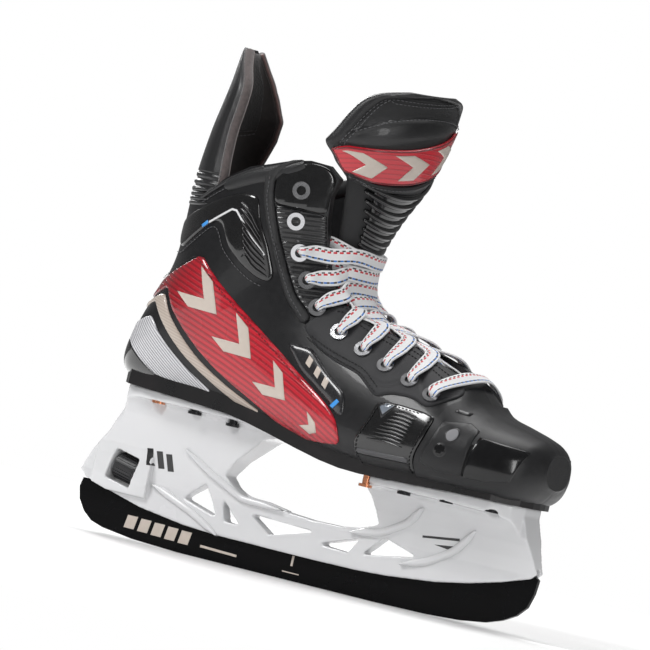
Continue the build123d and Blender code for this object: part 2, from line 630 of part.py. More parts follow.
# ---------------------------------------------------------------- tendon guard
# Back middle point (x, z), half width and how far the wings reach forward.
TENDON = [
    (-118.5, 207.5, 36, 30), (-117.2, 220, 35, 28), (-116, 232, 33, 25), (-114, 247, 31, 22),
    (-111.5, 261, 29, 20),
    (-109.4, 274, 26, 17), (-108.6, 286, 18, 9), (-108.4, 297, 9, 2.5),
]


def tendon_half(inset, thick):
    wires = []
    for x, z, half_width, reach in TENDON:
        w = half_width - inset * 0.9
        r = reach
        outer = []
        inner = []
        for k in range(8):
            a = math.pi / 2 * k / 7
            bow = 1 - math.cos(a)
            outer.append(Vector(x + inset + r * bow, -w * math.sin(a), z))
            inner.append(Vector(x + inset + thick + (r - thick * 0.4) * bow, -(w - thick) * math.sin(a), z))
        wires.append(Wire([
            Spline(*outer), Line(outer[-1], inner[-1]), Spline(*reversed(inner)), Line(inner[0], outer[0])]))
    parts = None
    for a, b in zip(wires, wires[1:]):
        block = Solid.make_loft([a, b], ruled=True)
        parts = block if parts is None else parts + block
    return parts


GUARD_BASE = [(x, z + 0.9) for x, z in COLLAR_LINE] + [(-14, 100), (-150, 100)]
guard_shell = tendon_half(0.0, 3.2) - side_prism(GUARD_BASE)
keep_whole("tendon_guard", guard_shell)
lining = tendon_half(3.2, 3.0) & side_prism([(-140, 209), (-60, 209), (-60, 292), (-140, 292)])
keep_whole("guard_lining", lining - guard_shell - side_prism(GUARD_BASE))

# ---------------------------------------------------------------- lace
# Throat edge beside each laced eyelet, third from the top down to the toe (x, z).
EDGES = [
    (-12.3, 186.0), (-6.0, 172.7), (1.5, 165.2), (13.5, 157.9), (30.0, 152.9), (48.0, 148.4), (65.5, 143.1),
    (80.0, 137.8),
]
LACE_OUT = 4.1         # lace centre above the facing
EDGE_LIFT = 0.9        # extra height where the lace leaves the facing's edge
LACE_IN = 7.2          # lace centre under the facing's outer face
TONGUE_RIDE = (3.0, 6.0)
SIDE_RIDE = 1.7        # the lace stands this much higher beside the tongue's middle
SIDE_ANGLE = 43        # degrees round the tongue's arc


def on_right(x, z, out):
    """A point near the right side's outer face, at a distance out of it."""
    hits = form_mid.find_intersection_points(Axis((x, 0, z), (0, -1, 0)))
    hit = [h for h in hits if h[0].Y < -3][0]
    normal = hit[1] if hit[1].Y < 0 else hit[1] * -1
    return hit[0] + normal * out


def mixed(a, b, share):
    return (a[0] + (b[0] - a[0]) * share, a[1] + (b[1] - a[1]) * share)


def tongue_front(z_or_x, ride, angle=0):
    """A point in front of the tongue at a given height, in the middle or round its arc."""
    for row, following in zip(TONGUE, TONGUE[1:]):
        xa, za = row[0], row[2]
        xb, zb = following[0], following[2]
        if za <= z_or_x <= zb:
            t = (z_or_x - za) / (zb - za)
            run = Vector(xb - xa, 0, zb - za).normalized()
            radius = row[3] + ride
            turn = math.radians(angle)
            inward = ride - radius * (1 - math.cos(turn))
            middle = Vector(xa + (xb - xa) * t, 0, z_or_x)
            return middle + Vector(run.Z, 0, -run.X) * inward + Vector(0, radius * math.sin(turn), 0)
    raise ValueError(z_or_x)


LACED = EYELETS[2:]
CROSS_Z = [181.5, 172.5, 164.6, 157.3, 151.8, 147.2, 142.6]


def strand(ride):
    """One half of the lace, from the middle of the toe bar up; it starts on the right."""
    last = len(LACED) - 1
    sign = 1
    p, n = LACED[last]
    points = [Vector(87.0, 0, 140.6)]
    points.append(on_right(82.5, 136.4, LACE_OUT + 0.4))
    points.append(p + n * (LACE_OUT + 0.4))
    points.append(p - n * LACE_IN)
    points.append(on_right(*mixed(EDGES[last], EDGES[last - 1], 0.3), -LACE_IN))
    for k in range(last - 1, -1, -1):
        if k < 4:
            points.append(tongue_front(CROSS_Z[k], ride + SIDE_RIDE, -SIDE_ANGLE * sign))
        points.append(tongue_front(CROSS_Z[k], ride))
        sign = -sign
        if k < 4:
            points.append(tongue_front(CROSS_Z[k], ride + SIDE_RIDE, -SIDE_ANGLE * sign))
        side = []
        p, n = LACED[k]
        below = EDGES[k + 1]
        above = EDGES[k - 1] if k else (-15.0, 194.0)
        side.append(on_right(*mixed(EDGES[k], below, 0.25), -LACE_IN))
        side.append(p - n * LACE_IN)
        side.append(p + n * LACE_OUT)
        side.append(on_right(*mixed(EDGES[k], above, 0.3), LACE_OUT + EDGE_LIFT))
        points += side if sign > 0 else [flip(q) for q in side]
    # The end goes over the tongue once more and is tucked in behind the other facing.
    points.append(tongue_front(191.0, ride + SIDE_RIDE, -SIDE_ANGLE * sign))
    points.append(tongue_front(191.0, ride))
    sign = -sign
    points.append(tongue_front(191.0, ride + SIDE_RIDE, -SIDE_ANGLE * sign))
    side = [
        on_right(-15.4, 196.0, -LACE_IN),
        on_right(-33.0, 198.0, -LACE_IN),
        on_right(-37.0, 186.0, -LACE_IN - 0.4),
    ]
    tip = [on_right(-34.5, 174.0, -LACE_IN - 0.6)]
    points += [q if sign > 0 else flip(q) for q in side + tip]
    return points


first_half = strand(TONGUE_RIDE[0])
second_half = [flip(q) for q in strand(TONGUE_RIDE[1])]
route = list(reversed(second_half)) + first_half[1:]
path = FilletPolyline(*route, radius=LACE_BEND)
print("lace length", round(path.length), "bend radius", LACE_BEND)
start = Plane(origin=path.position_at(0), z_dir=path.tangent_at(0))
lace = sweep(start * Circle(LACE_D / 2), path=path)
keep("lace", lace)
tips = []
for a, b in ((route[0], route[1]), (route[-1], route[-2])):
    run = (b - a).normalized()
    place = Plane(origin=a + run * 3.4, z_dir=run).location
    tips.append(place * (Cylinder(LACE_D / 2 + 0.25, 7.0) - Cylinder(LACE_D / 2, 20)))
keep("lace_tips", Compound(children=tips), one=False)

print("all nodes written", len(os.listdir("parts")))
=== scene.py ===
import bpy
import math
import numpy as np
from mathutils import Matrix, Vector
from mathutils.bvhtree import BVHTree
from mathutils.geometry import delaunay_2d_cdt
from mathutils.kdtree import KDTree


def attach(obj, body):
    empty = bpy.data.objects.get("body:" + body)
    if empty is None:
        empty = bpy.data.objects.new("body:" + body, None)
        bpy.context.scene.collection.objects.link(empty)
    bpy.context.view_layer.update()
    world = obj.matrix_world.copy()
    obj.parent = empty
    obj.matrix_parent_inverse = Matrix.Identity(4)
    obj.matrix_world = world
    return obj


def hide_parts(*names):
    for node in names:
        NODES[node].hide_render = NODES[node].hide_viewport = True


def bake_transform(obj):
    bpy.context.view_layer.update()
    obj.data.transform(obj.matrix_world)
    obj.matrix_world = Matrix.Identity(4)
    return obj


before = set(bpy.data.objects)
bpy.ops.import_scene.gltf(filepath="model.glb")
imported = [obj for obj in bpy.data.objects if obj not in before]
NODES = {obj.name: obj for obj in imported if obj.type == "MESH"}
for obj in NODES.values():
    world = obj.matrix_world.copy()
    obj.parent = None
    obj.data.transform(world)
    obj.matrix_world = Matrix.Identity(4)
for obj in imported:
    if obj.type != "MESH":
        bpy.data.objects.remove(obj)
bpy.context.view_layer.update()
scene = bpy.context.scene
MM = 0.001

# ---------------------------------------------------------------- camera
TILT = math.radians(13.08)
AZ = math.radians(26.5)
EL = math.radians(0.4)
DIST = 5.0
SENSOR = 36.0
VIEW_WIDTH = 0.377
cam_data = bpy.data.cameras.new("camera")
cam = bpy.data.objects.new("camera", cam_data)
scene.collection.objects.link(cam)
TARGET = Vector((-0.0187, 0.0, 0.14885))
back = Vector((math.sin(AZ) * math.cos(EL), -math.cos(AZ) * math.cos(EL), math.sin(EL)))
cam.location = TARGET + back * DIST
right = Vector((math.cos(AZ), math.sin(AZ), 0.0))
up = back.cross(right)
cam_right = right * math.cos(TILT) + up * math.sin(TILT)
cam_up = up * math.cos(TILT) - right * math.sin(TILT)
rot = np.array([cam_right, cam_up, back]).T
cam.rotation_euler = Matrix(rot.tolist()).to_euler()
cam_data.sensor_width = SENSOR
cam_data.lens = SENSOR * DIST / VIEW_WIDTH
cam_data.clip_start = 0.05
scene.camera = cam
scene.view_settings.view_transform = "Standard"
scene.view_settings.look = "None"

# ---------------------------------------------------------------- boot form, as in the CAD
SECTIONS = np.array([
    (146.0, 89.0, 145.5, 104.0, 13.0, 2.3, 2.3, 0.50),
    (143.5, 82.0, 142.5, 109.5, 25.0, 2.4, 2.3, 0.48),
    (136.5, 77.5, 134.5, 112.8, 34.0, 2.8, 2.3, 0.45),
    (122.0, 76.0, 122.0, 116.0, 41.5, 3.2, 2.3, 0.42),
    (101.0, 75.7, 103.0, 121.5, 46.5, 3.5, 2.2, 0.40),
    (76.0, 75.0, 88.0, 135.0, 48.5, 3.5, 2.1, 0.38),
    (45.0, 74.0, 66.0, 146.0, 46.5, 3.5, 2.0, 0.38),
    (15.0, 76.5, 39.0, 154.0, 42.0, 3.4, 2.0, 0.38),
    (-12.0, 82.0, 20.0, 162.0, 38.5, 3.2, 2.0, 0.40),
    (-42.0, 87.5, 8.0, 172.0, 37.0, 3.0, 2.0, 0.42),
    (-78.0, 90.5, 3.5, 182.0, 37.5, 2.9, 2.0, 0.45),
    (-116.0, 92.0, 2.0, 192.0, 39.5, 2.7, 2.0, 0.50),
    (-134.5, 99.0, 2.0, 201.0, 41.0, 2.4, 1.9, 0.52),
    (-133.0, 122.0, 2.5, 211.0, 43.0, 2.3, 1.9, 0.52),
    (-120.0, 160.0, 4.0, 226.0, 45.0, 2.1, 1.85, 0.54),
    (-118.5, 225.0, 8.0, 262.0, 46.5, 2.1, 1.85, 0.55),
])
SUB = 16


def cubic(t, p1, p2, m1, m2):
    """Cubic blend from p1 to p2, with tangents m1 and m2."""
    return ((2 * t**3 - 3 * t**2 + 1) * p1 + (t**3 - 2 * t**2 + t) * m1
            + (3 * t**2 - 2 * t**3) * p2 + (t**3 - t**2) * m2)


def neighbours(points, i):
    """Point i and the next, with one point before and after; the ends are carried on straight."""
    p1, p2 = points[i], points[i + 1]
    p0 = points[i - 1] if i > 0 else 2 * p1 - p2
    p3 = points[i + 2] if i + 2 < len(points) else 2 * p2 - p1
    return p0, p1, p2, p3


def chord_tangents(span, gaps):
    """Tangents at a span's two ends, weighted by the lengths of the three chords."""
    p0, p1, p2, p3 = span
    d01, d12, d23 = gaps
    m1 = ((p1 - p0) / d01 - (p2 - p0) / (d01 + d12) + (p2 - p1) / d12) * d12
    m2 = ((p2 - p1) / d12 - (p3 - p1) / (d12 + d23) + (p3 - p2) / d23) * d12
    return m1, m2


def flow_rows():
    """Rows of the boot form, blended between its sections."""
    rows = []
    for i in range(len(SECTIONS) - 1):
        span = neighbours(SECTIONS, i)
        gaps = [math.sqrt(np.linalg.norm(a[:4] - b[:4])) for a, b in zip(span, span[1:])]
        m1, m2 = chord_tangents(span, gaps)
        rows += [cubic(k / SUB, span[1], span[2], m1, m2) for k in range(SUB)]
    rows.append(SECTIONS[-1])
    return np.array(rows)


ROWS = flow_rows()
ROW_LEN = np.concatenate([[0], np.cumsum(
    0.5 * np.linalg.norm(np.diff(ROWS[:, 0:2], axis=0), axis=1)
    + 0.5 * np.linalg.norm(np.diff(ROWS[:, 2:4], axis=0), axis=1))])
V_SPAN = 120.0


def form_point(u, t):
    """Points of the right half of the boot form, in mm. u is a row number, t runs 0 (low) to pi (high)."""
    u = np.clip(np.asarray(u, float), 0, len(ROWS) - 1.0)
    t = np.asarray(t, float)
    i = np.minimum(u.astype(int), len(ROWS) - 2)
    f = (u - i)[..., None]
    r = ROWS[i] * (1 - f) + ROWS[i + 1] * f
    low, high = r[..., 0:2], r[..., 2:4]
    length = np.linalg.norm(high - low, axis=-1)
    axis = (high - low) / length[..., None]
    waist = r[..., 7]
    a = -np.cos(t)
    n = np.where(a < 0, r[..., 5], r[..., 6])
    reach = np.where(a < 0, waist, 1 - waist) * length
    along = np.sign(a) * np.abs(a) ** (2 / n) * reach
    across = np.abs(np.sin(t)) ** (2 / n) * r[..., 4]
    c = low + axis * (waist * length + along)[..., None]
    return np.stack([c[..., 0], -across, c[..., 1]], axis=-1)


def form_frame(u, t):
    """Point and outward normal of the boot form, in mm."""
    t = np.clip(t, 0.02, math.pi - 0.02)
    u = np.clip(u, 0.05, len(ROWS) - 1.05)
    p = form_point(u, t)
    du = form_point(u + 0.05, t) - form_point(u - 0.05, t)
    dt = form_point(u, t + 0.01) - form_point(u, t - 0.01)
    n = np.cross(du, dt)
    n /= np.linalg.norm(n, axis=-1)[..., None] + 1e-12
    row = ROWS[np.clip(u.astype(int), 0, len(ROWS) - 1)]
    mid = (row[..., 0:2] + row[..., 2:4]) / 2
    away = np.stack([p[..., 0] - mid[..., 0], p[..., 1], p[..., 2] - mid[..., 1]], axis=-1)
    flip = np.sign(np.sum(n * away, axis=-1))[..., None]
    return p, n * flip


def xz_to_ut(x, z):
    """Row number and angle of the form's point seen at (x, z) from the side."""
    low, high = ROWS[:, 0:2], ROWS[:, 2:4]
    p = np.array([x, z])
    cross = (high[:, 0] - low[:, 0]) * (p[1] - low[:, 1]) - (high[:, 1] - low[:, 1]) * (p[0] - low[:, 0])
    best = None
    for i in np.nonzero(cross[:-1] * cross[1:] <= 0)[0]:
        f = cross[i] / (cross[i] - cross[i + 1]) if cross[i] != cross[i + 1] else 0.0
        lo = low[i] * (1 - f) + low[i + 1] * f
        hi = high[i] * (1 - f) + high[i + 1] * f
        a = float(np.dot(p - lo, hi - lo) / np.dot(hi - lo, hi - lo))
        miss = max(0.0, -a, a - 1)
        if best is None or miss < best[0]:
            best = (miss, i + f, a)
    if best is None or best[0] > 0.0:
        if best is None or best[2] < 0 or z < 100:
            heel = np.nonzero(ROWS[:, 0] < -100)[0] if x < 0 else np.arange(len(ROWS))
            d = np.abs(low[heel, 1] - z) if x < -100 and z > 98 else np.linalg.norm(low[heel] - p, axis=1)
            return float(heel[int(np.argmin(d))]), 0.0
        d = np.linalg.norm(high - p, axis=1)
        return float(np.argmin(d)), math.pi
    _, u, a = best
    r = ROWS[int(u)] * (1 - (u - int(u))) + ROWS[min(int(u) + 1, len(ROWS) - 1)] * (u - int(u))
    s = a - r[7]
    reach = r[7] if s < 0 else 1 - r[7]
    n = r[5] if s < 0 else r[6]
    c = math.copysign(min(1.0, abs(s) / reach) ** (n / 2), s)
    return u, math.acos(max(-1.0, min(1.0, -c)))


def on_boot(x, z, out):
    """A point over the boot's right side, seen at (x, z) from the side, and its normal, in mm."""
    u, t = xz_to_ut(x, z)
    p, n = form_frame(np.array([u]), np.array([t]))
    return p[0] + n[0] * out, n[0]


# ---------------------------------------------------------------- materials
WEAR = 0.04


def new_mat(name):
    m = bpy.data.materials.new(name)
    m.use_nodes = True
    return m, m.node_tree, m.node_tree.nodes["Principled BSDF"]


def put(tree, socket, value):
    """Link another node's output to a socket, or set the socket's own value."""
    if isinstance(value, bpy.types.NodeSocket):
        tree.links.new(value, socket)
    else:
        socket.default_value = value


def add_node(tree, kind, inputs):
    """A new shader node with its inputs set or linked."""
    node = tree.nodes.new("ShaderNode" + kind)
    for key, value in inputs.items():
        put(tree, node.inputs[key], value)
    return node


def calc(tree, op, a, b=None):
    """The result of a maths node."""
    node = tree.nodes.new("ShaderNodeMath")
    node.operation = op
    put(tree, node.inputs[0], a)
    if b is not None:
        put(tree, node.inputs[1], b)
    return node.outputs[0]


def mix_colors(tree, factor, a, b, blend="MIX"):
    node = tree.nodes.new("ShaderNodeMix")
    node.data_type = "RGBA"
    node.blend_type = blend
    put(tree, node.inputs["A"], a)
    put(tree, node.inputs["B"], b)
    put(tree, node.inputs["Factor"], factor)
    return node.outputs["Result"]


def smooth_step(tree, value, ends):
    node = add_node(tree, "MapRange", ends)
    node.interpolation_type = "SMOOTHSTEP"
    put(tree, node.inputs["Value"], value)
    return node.outputs["Result"]


def relief(tree, bsdf, height, bump, depth, tone, rough):
    """Bump from one pattern, and roughness that another varies between two values."""
    raised = add_node(tree, "Bump", {"Strength": bump, "Distance": depth, "Height": height})
    put(tree, bsdf.inputs["Normal"], raised.outputs["Normal"])
    vary = add_node(tree, "MapRange", {"To Min": rough[0], "To Max": rough[1], "Value": tone})
    put(tree, bsdf.inputs["Roughness"], vary.outputs["Result"])


def pattern(tree, kind, scale, vector):
    """The fine pattern under a finish: noise, cells, a weave, or waves along the axis that kind names."""
    if kind == "noise":
        return add_node(tree, "TexNoise", {"Scale": scale, "Detail": 3.0, "Vector": vector}).outputs["Fac"]
    if kind == "voronoi":
        return add_node(tree, "TexVoronoi", {"Scale": scale, "Vector": vector}).outputs["Distance"]
    waves = []
    for axis in "XZ" if kind == "weave" else kind:
        wave = add_node(tree, "TexWave", {"Scale": scale, "Vector": vector})
        wave.bands_direction = axis
        waves.append(wave.outputs["Fac"])
    return calc(tree, "MULTIPLY", waves[0], waves[1]) if kind == "weave" else waves[0]


def surface(name, color, rough, color2=None, scale=300.0, metal=0.0, coat=0.0, bump=0.15,
            bump_scale=1500.0,
            sheen=0.0, kind="noise", stretch=(1, 1, 1), spec=0.5, turn=(0, 0, 0), depth=0.0003):
    """A procedural finish: two-tone variation, roughness break-up and a fine bump."""
    m, tree, bsdf = new_mat(name)
    place = add_node(tree, "TexCoord", {}).outputs["Object"]
    turned = add_node(tree,
                      "Mapping", {"Scale": stretch, "Rotation": turn, "Vector": place}).outputs["Vector"]
    tone = add_node(tree, "TexNoise", {"Scale": scale, "Detail": 4.0, "Vector": place}).outputs["Fac"]
    second = color2 or tuple(min(1.0, c * (1 + WEAR) + WEAR * 0.05) for c in color)
    ramp = add_node(tree, "ValToRGB", {"Fac": tone})
    for stop, position, tint in zip(ramp.color_ramp.elements, (0.35, 0.7), (color, second)):
        stop.position = position
        stop.color = (*tint, 1)
    put(tree, bsdf.inputs["Base Color"], ramp.outputs["Color"])
    fine = pattern(tree, kind, bump_scale, turned)
    relief(tree, bsdf, fine, bump, depth, tone, (max(0.02, rough - 0.06), min(1.0, rough + 0.08)))
    bsdf.inputs["Metallic"].default_value = metal
    bsdf.inputs["Coat Weight"].default_value = coat
    bsdf.inputs["Coat Roughness"].default_value = 0.08
    bsdf.inputs["Sheen Weight"].default_value = sheen
    bsdf.inputs["Specular IOR Level"].default_value = spec
    return m


def striped(name, base, line, direction, pitch, width, curve, rough, coat, bump, along_fade=None):
    """A gloss finish with fine parallel lines; direction is the line's side-view direction."""
    m, tree, bsdf = new_mat(name)
    place = add_node(tree, "TexCoord", {}).outputs["Object"]
    sep = add_node(tree, "SeparateXYZ", {"Vector": place})
    dx, dz = direction
    size = math.hypot(dx, dz)

    def distance(x_share, z_share):
        """Distance in mm along a side-view direction."""
        x = calc(tree, "MULTIPLY", sep.outputs["X"], x_share * 1000)
        return calc(tree, "ADD", x, calc(tree, "MULTIPLY", sep.outputs["Z"], z_share * 1000))

    s = distance(-dz / size, dx / size)
    q = distance(dx / size, dz / size)
    if curve:
        s = calc(tree, "ADD", s, calc(tree, "MULTIPLY", calc(tree, "MULTIPLY", q, q), curve))
    phase = calc(tree, "FRACT", calc(tree, "MULTIPLY", s, 1.0 / pitch))
    off_line = calc(tree, "ABSOLUTE", calc(tree, "ADD", phase, -0.5))
    mask = smooth_step(tree,
                       off_line, {"From Min": width / 2 + 0.08, "From Max": max(0.01, width / 2 - 0.08)})
    color = mix_colors(tree, mask, (*base, 1), (*line, 1))
    tone = add_node(tree, "TexNoise", {"Scale": 60.0, "Detail": 5.0, "Vector": place}).outputs["Fac"]
    if along_fade:
        start, end, dark = along_fade
        ends = {"From Min": start * MM, "From Max": end * MM, "To Min": dark, "To Max": 1.0}
        fade = smooth_step(tree, sep.outputs["X"], ends)
        grey = add_node(tree, "CombineColor", {"Red": fade, "Green": fade, "Blue": fade})
        color = mix_colors(tree, 1.0, color, grey.outputs["Color"], "MULTIPLY")
    put(tree, bsdf.inputs["Base Color"], color)
    relief(tree, bsdf, mask, bump, 0.0003, tone, (max(0.02, rough - 0.06), rough + 0.08))
    bsdf.inputs["Coat Weight"].default_value = coat
    bsdf.inputs["Coat Roughness"].default_value = 0.08
    return m


def woven_tape(name, base, tracers):
    """Flat woven tape: weave bump from the piece's own UVs, with dashed tracer threads."""
    m, tree, bsdf = new_mat(name)
    uv = add_node(tree, "UVMap", {}).outputs["UV"]
    sep = add_node(tree, "SeparateXYZ", {"Vector": uv})
    across, along = sep.outputs["X"], sep.outputs["Y"]
    along_rate, across_rate = 2.2, 5.0

    def op(kind, a, b=None):
        return calc(tree, kind, a, b)

    color = (*base, 1)
    for centre, width, tint, period, duty, phase in tracers:
        near = op("LESS_THAN", op("ABSOLUTE", op("ADD", across, -centre)), width)
        dash = op("LESS_THAN", op("FRACT", op("ADD", op("MULTIPLY", along, 1.0 / period), phase)), duty)
        color = mix_colors(tree, op("MULTIPLY", near, dash), color, (*tint, 1))
    put(tree, bsdf.inputs["Base Color"], color)
    zigzag = op("ABSOLUTE", op("ADD", op("FRACT", op("MULTIPLY", across, across_rate)), -0.5))
    chevron = op("SINE", op("ADD", op("MULTIPLY", along, 6.2832 * along_rate), op("MULTIPLY", zigzag, 8.0)))
    cell = op("SINE", op("MULTIPLY", across, 6.2832 * across_rate))
    weave = op("ADD", chevron, op("MULTIPLY", cell, 0.6))
    tone = add_node(tree, "TexNoise", {"Scale": 900.0}).outputs["Fac"]
    relief(tree, bsdf, weave, 0.55, 0.00035, tone, (0.45, 0.7))
    bsdf.inputs["Sheen Weight"].default_value = 0.25
    return m


M = {
    "shell": surface("shell_black", (0.006, 0.006, 0.007), 0.33, bump=0.25, bump_scale=2600,
                     kind="voronoi", coat=0.2, spec=0.35),
    "gloss": surface("gloss_black", (0.004, 0.004, 0.0045), 0.17, bump=0.03, coat=0.7, bump_scale=900),
    "eyestay": surface("eyestay_charcoal", (0.024, 0.024, 0.026), 0.52, bump=0.35, bump_scale=3000,
                       kind="voronoi", spec=0.32),
    "toe": surface("toe_charcoal", (0.011, 0.011, 0.012), 0.38, bump=0.22, bump_scale=3200, kind="voronoi",
                   spec=0.4),
    "toe_gloss": surface("toe_insert", (0.003, 0.003, 0.0035), 0.16, bump=0.05, coat=0.3, spec=0.4),
    "outsole": surface("outsole_black", (0.003, 0.003, 0.0035), 0.28, (0.006, 0.004, 0.005), 40, bump=0.15,
                       coat=0.4),
    "red": striped("panel_red", (0.52, 0.008, 0.022), (0.30, 0.004, 0.014), (138, -76), 3.1, 0.42, 0.0007,
                   0.26, 0.7,
                   0.35, (-125, -60, 0.42)),
    "stripe": striped("stripe_champagne", (0.50, 0.43, 0.37), (0.42, 0.35, 0.30), (138, -80), 1.6, 0.4,
                      0.001, 0.34, 0.35, 0.15),
    "wing": striped("wing_white", (0.66, 0.66, 0.68), (0.28, 0.28, 0.30), (60, -46), 1.5, 0.42, 0.0, 0.36,
                    0.3, 0.5),
    "white": surface("plain_white", (0.70, 0.70, 0.71), 0.34, bump=0.05, coat=0.3),
    "holder": surface("holder_white", (0.70, 0.705, 0.715), 0.24, (0.68, 0.68, 0.695), 30, bump=0.035,
                      bump_scale=700, coat=0.6),
    "plate": surface("plate_grey", (0.014, 0.014, 0.016), 0.26, bump=0.1, coat=0.4),
    "runner": surface("runner_black", (0.002, 0.002, 0.0022), 0.2, (0.003, 0.003, 0.0035), 60, bump=0.03,
                      bump_scale=500, stretch=(0.05, 1, 1), spec=0.1),
    "steel": surface("eyelet_steel", (0.62, 0.62, 0.64), 0.2, metal=1.0, bump=0.06, bump_scale=800),
    "copper": surface("copper_rivet", (0.72, 0.30, 0.16), 0.24, metal=1.0, bump=0.06, bump_scale=800),
    "black_metal": surface("black_rivet", (0.02, 0.02, 0.022), 0.3, metal=0.6, bump=0.08, bump_scale=800),
    "leather": surface("collar_leather", (0.009, 0.009, 0.010), 0.40, bump=0.35, bump_scale=1500,
                       kind="voronoi", sheen=0.1),
    "felt": surface("felt_grey", (0.065, 0.052, 0.050), 0.9, (0.10, 0.08, 0.078), 500, bump=0.6,
                    bump_scale=2600, sheen=0.5),
    "lining": surface("liner_brown", (0.014, 0.011, 0.010), 0.8, (0.024, 0.018, 0.017), 350, bump=0.5,
                      bump_scale=2200, sheen=0.4),
    "mesh": surface("mesh_black", (0.012, 0.011, 0.011), 0.6, bump=0.8, bump_scale=900, kind="voronoi",
                    sheen=0.2),
    "webbing": surface("woven_black", (0.012, 0.012, 0.013), 0.46, bump=0.6, bump_scale=700, kind="weave",
                       turn=(0, 0.35, 0)),
    "ribbed": surface("ribbed_black", (0.006, 0.006, 0.007), 0.24, bump=0.9, bump_scale=115, kind="Z",
                      coat=0.4,
                      turn=(0, 0.12, 0), depth=0.0006),
    "tongue": surface("tongue_black", (0.011, 0.011, 0.012), 0.52, bump=0.45, bump_scale=1400,
                      kind="weave"),
    "label": striped("label_red", (0.56, 0.008, 0.022), (0.42, 0.005, 0.016), (60, 14), 2.6, 0.3, 0.0,
                     0.24, 0.7, 0.15),
    "mark": surface("mark_champagne", (0.55, 0.48, 0.42), 0.32, bump=0.05, coat=0.3),
    "mark_dark": surface("mark_black", (0.012, 0.012, 0.013), 0.3, bump=0.05, coat=0.3),
    "blue": surface("accent_blue", (0.05, 0.30, 0.75), 0.35, bump=0.05),
    "thread": surface("thread_grey", (0.10, 0.10, 0.105), 0.7, bump=0.5, bump_scale=4000),
    "thread_dark": surface("thread_black", (0.0025, 0.0025, 0.003), 0.5, bump=0.5, bump_scale=4000),
    "board": surface("board_grey", (0.2, 0.2, 0.21), 0.6, bump=0.2),
    "bed": surface("footbed_red", (0.22, 0.02, 0.03), 0.8, bump=0.5, bump_scale=1800, sheen=0.3),
    "wheel": surface("wheel_black", (0.02, 0.02, 0.022), 0.42, bump=0.2, bump_scale=1500),
    "lace": woven_tape("lace_white", (0.9, 0.9, 0.91), [
        (0.2, 0.055, (0.03, 0.2, 0.62), 3.8, 0.5, 0.0), (0.2, 0.055, (0.004, 0.004, 0.008), 3.8, 0.42, 0.5),
        (0.72, 0.06, (0.66, 0.006, 0.02), 3.8, 0.6, 0.0), (0.83, 0.045, (0.01, 0.003, 0.004), 3.8, 0.5,
                0.3)]),
    "satin": surface("satin_black", (0.05, 0.05, 0.054), 0.34, (0.06, 0.06, 0.064), 300, bump=0.1,
                     coat=0.3),
    "gel": surface("clear_gel", (0.16, 0.18, 0.21), 0.12, (0.2, 0.23, 0.27), 90, bump=0.1, coat=0.8),
    "guard": surface("guard_black", (0.009, 0.009, 0.010), 0.38, bump=0.3, bump_scale=2600, kind="voronoi",
                     coat=0.15),
    "piping": surface("piping_rose", (0.16, 0.09, 0.085), 0.6, (0.20, 0.12, 0.11), 500, bump=0.4,
                      bump_scale=2200, sheen=0.2),
    "eye_panel": surface("eye_panel", (0.009, 0.009, 0.010), 0.34, bump=0.25, bump_scale=2200,
                         kind="voronoi", coat=0.2),
    "label_dark": surface("label_edge", (0.16, 0.004, 0.010), 0.3, bump=0.1, coat=0.4),
}


def paint(obj, mat):
    obj.data.materials.clear()
    obj.data.materials.append(M[mat] if isinstance(mat, str) else mat)
    return obj


def make(name, verts, faces, mat, body="boot", smooth=True, uvs=None):
    """A mesh object from points in mm, riding one body; body None leaves it riding none."""
    mesh = bpy.data.meshes.new(name)
    mesh.from_pydata([tuple(float(c) * MM for c in v) for v in verts], [],
                     [tuple(int(i) for i in f) for f in faces])
    mesh.update()
    if smooth:
        for p in mesh.polygons:
            p.use_smooth = True
    if uvs is not None:
        layer = mesh.uv_layers.new(name="UVMap")
        for loop in mesh.loops:
            layer.data[loop.index].uv = uvs[loop.vertex_index]
    obj = bpy.data.objects.new(name, mesh)
    scene.collection.objects.link(obj)
    paint(obj, mat)
    if body:
        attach(obj, body)
    return obj


# ---------------------------------------------------------------- builders on the boot
PANEL_BASE = 0.1
SIDES = (("right", -1), ("left", 1))


def bent(value, power):
    """A cosine or sine raised to a power with its sign kept; low powers square the curve off."""
    return math.copysign(abs(value) ** power, value)


def densify(points, gap, closed=True):
    out = []
    count = len(points)
    for i in range(count if closed else count - 1):
        a, b = np.array(points[i], float), np.array(points[(i + 1) % count], float)
        n = max(1, int(math.ceil(np.linalg.norm(b - a) / gap)))
        out += [a + (b - a) * k / n for k in range(n)]
    if not closed:
        out.append(np.array(points[-1], float))
    return out


def soften(points, times, closed=True):
    """Round an outline's corners by cutting them back (Chaikin)."""
    pts = [np.array(p, float) for p in points]
    for _ in range(times):
        out = []
        count = len(pts)
        for i in range(count if closed else count - 1):
            a, b = pts[i], pts[(i + 1) % count]
            cut = min(0.25, 2.2 / (np.linalg.norm(b - a) + 1e-9))
            out += [a + (b - a) * cut, b + (a - b) * cut]
        if not closed:
            out = [pts[0]] + out + [pts[-1]]
        pts = out
    return pts


def inside(poly, pts):
    poly = np.asarray(poly)
    x, y = pts[:, 0], pts[:, 1]
    hit = np.zeros(len(pts), bool)
    for (x1, y1), (x2, y2) in zip(poly, np.roll(poly, -1, axis=0)):
        cond = (y1 > y) != (y2 > y)
        with np.errstate(divide="ignore", invalid="ignore"):
            xi = (x2 - x1) * (y - y1) / (y2 - y1 + 1e-15) + x1
        hit ^= cond & (x < xi)
    return hit


def flat_map(points):
    """Side-view outline points to the form's unrolled coordinates, in about mm."""
    out = []
    for x, z in points:
        u, t = xz_to_ut(x, z)
        out.append((np.interp(u, np.arange(len(ROWS)), ROW_LEN), t / math.pi * V_SPAN))
    return out


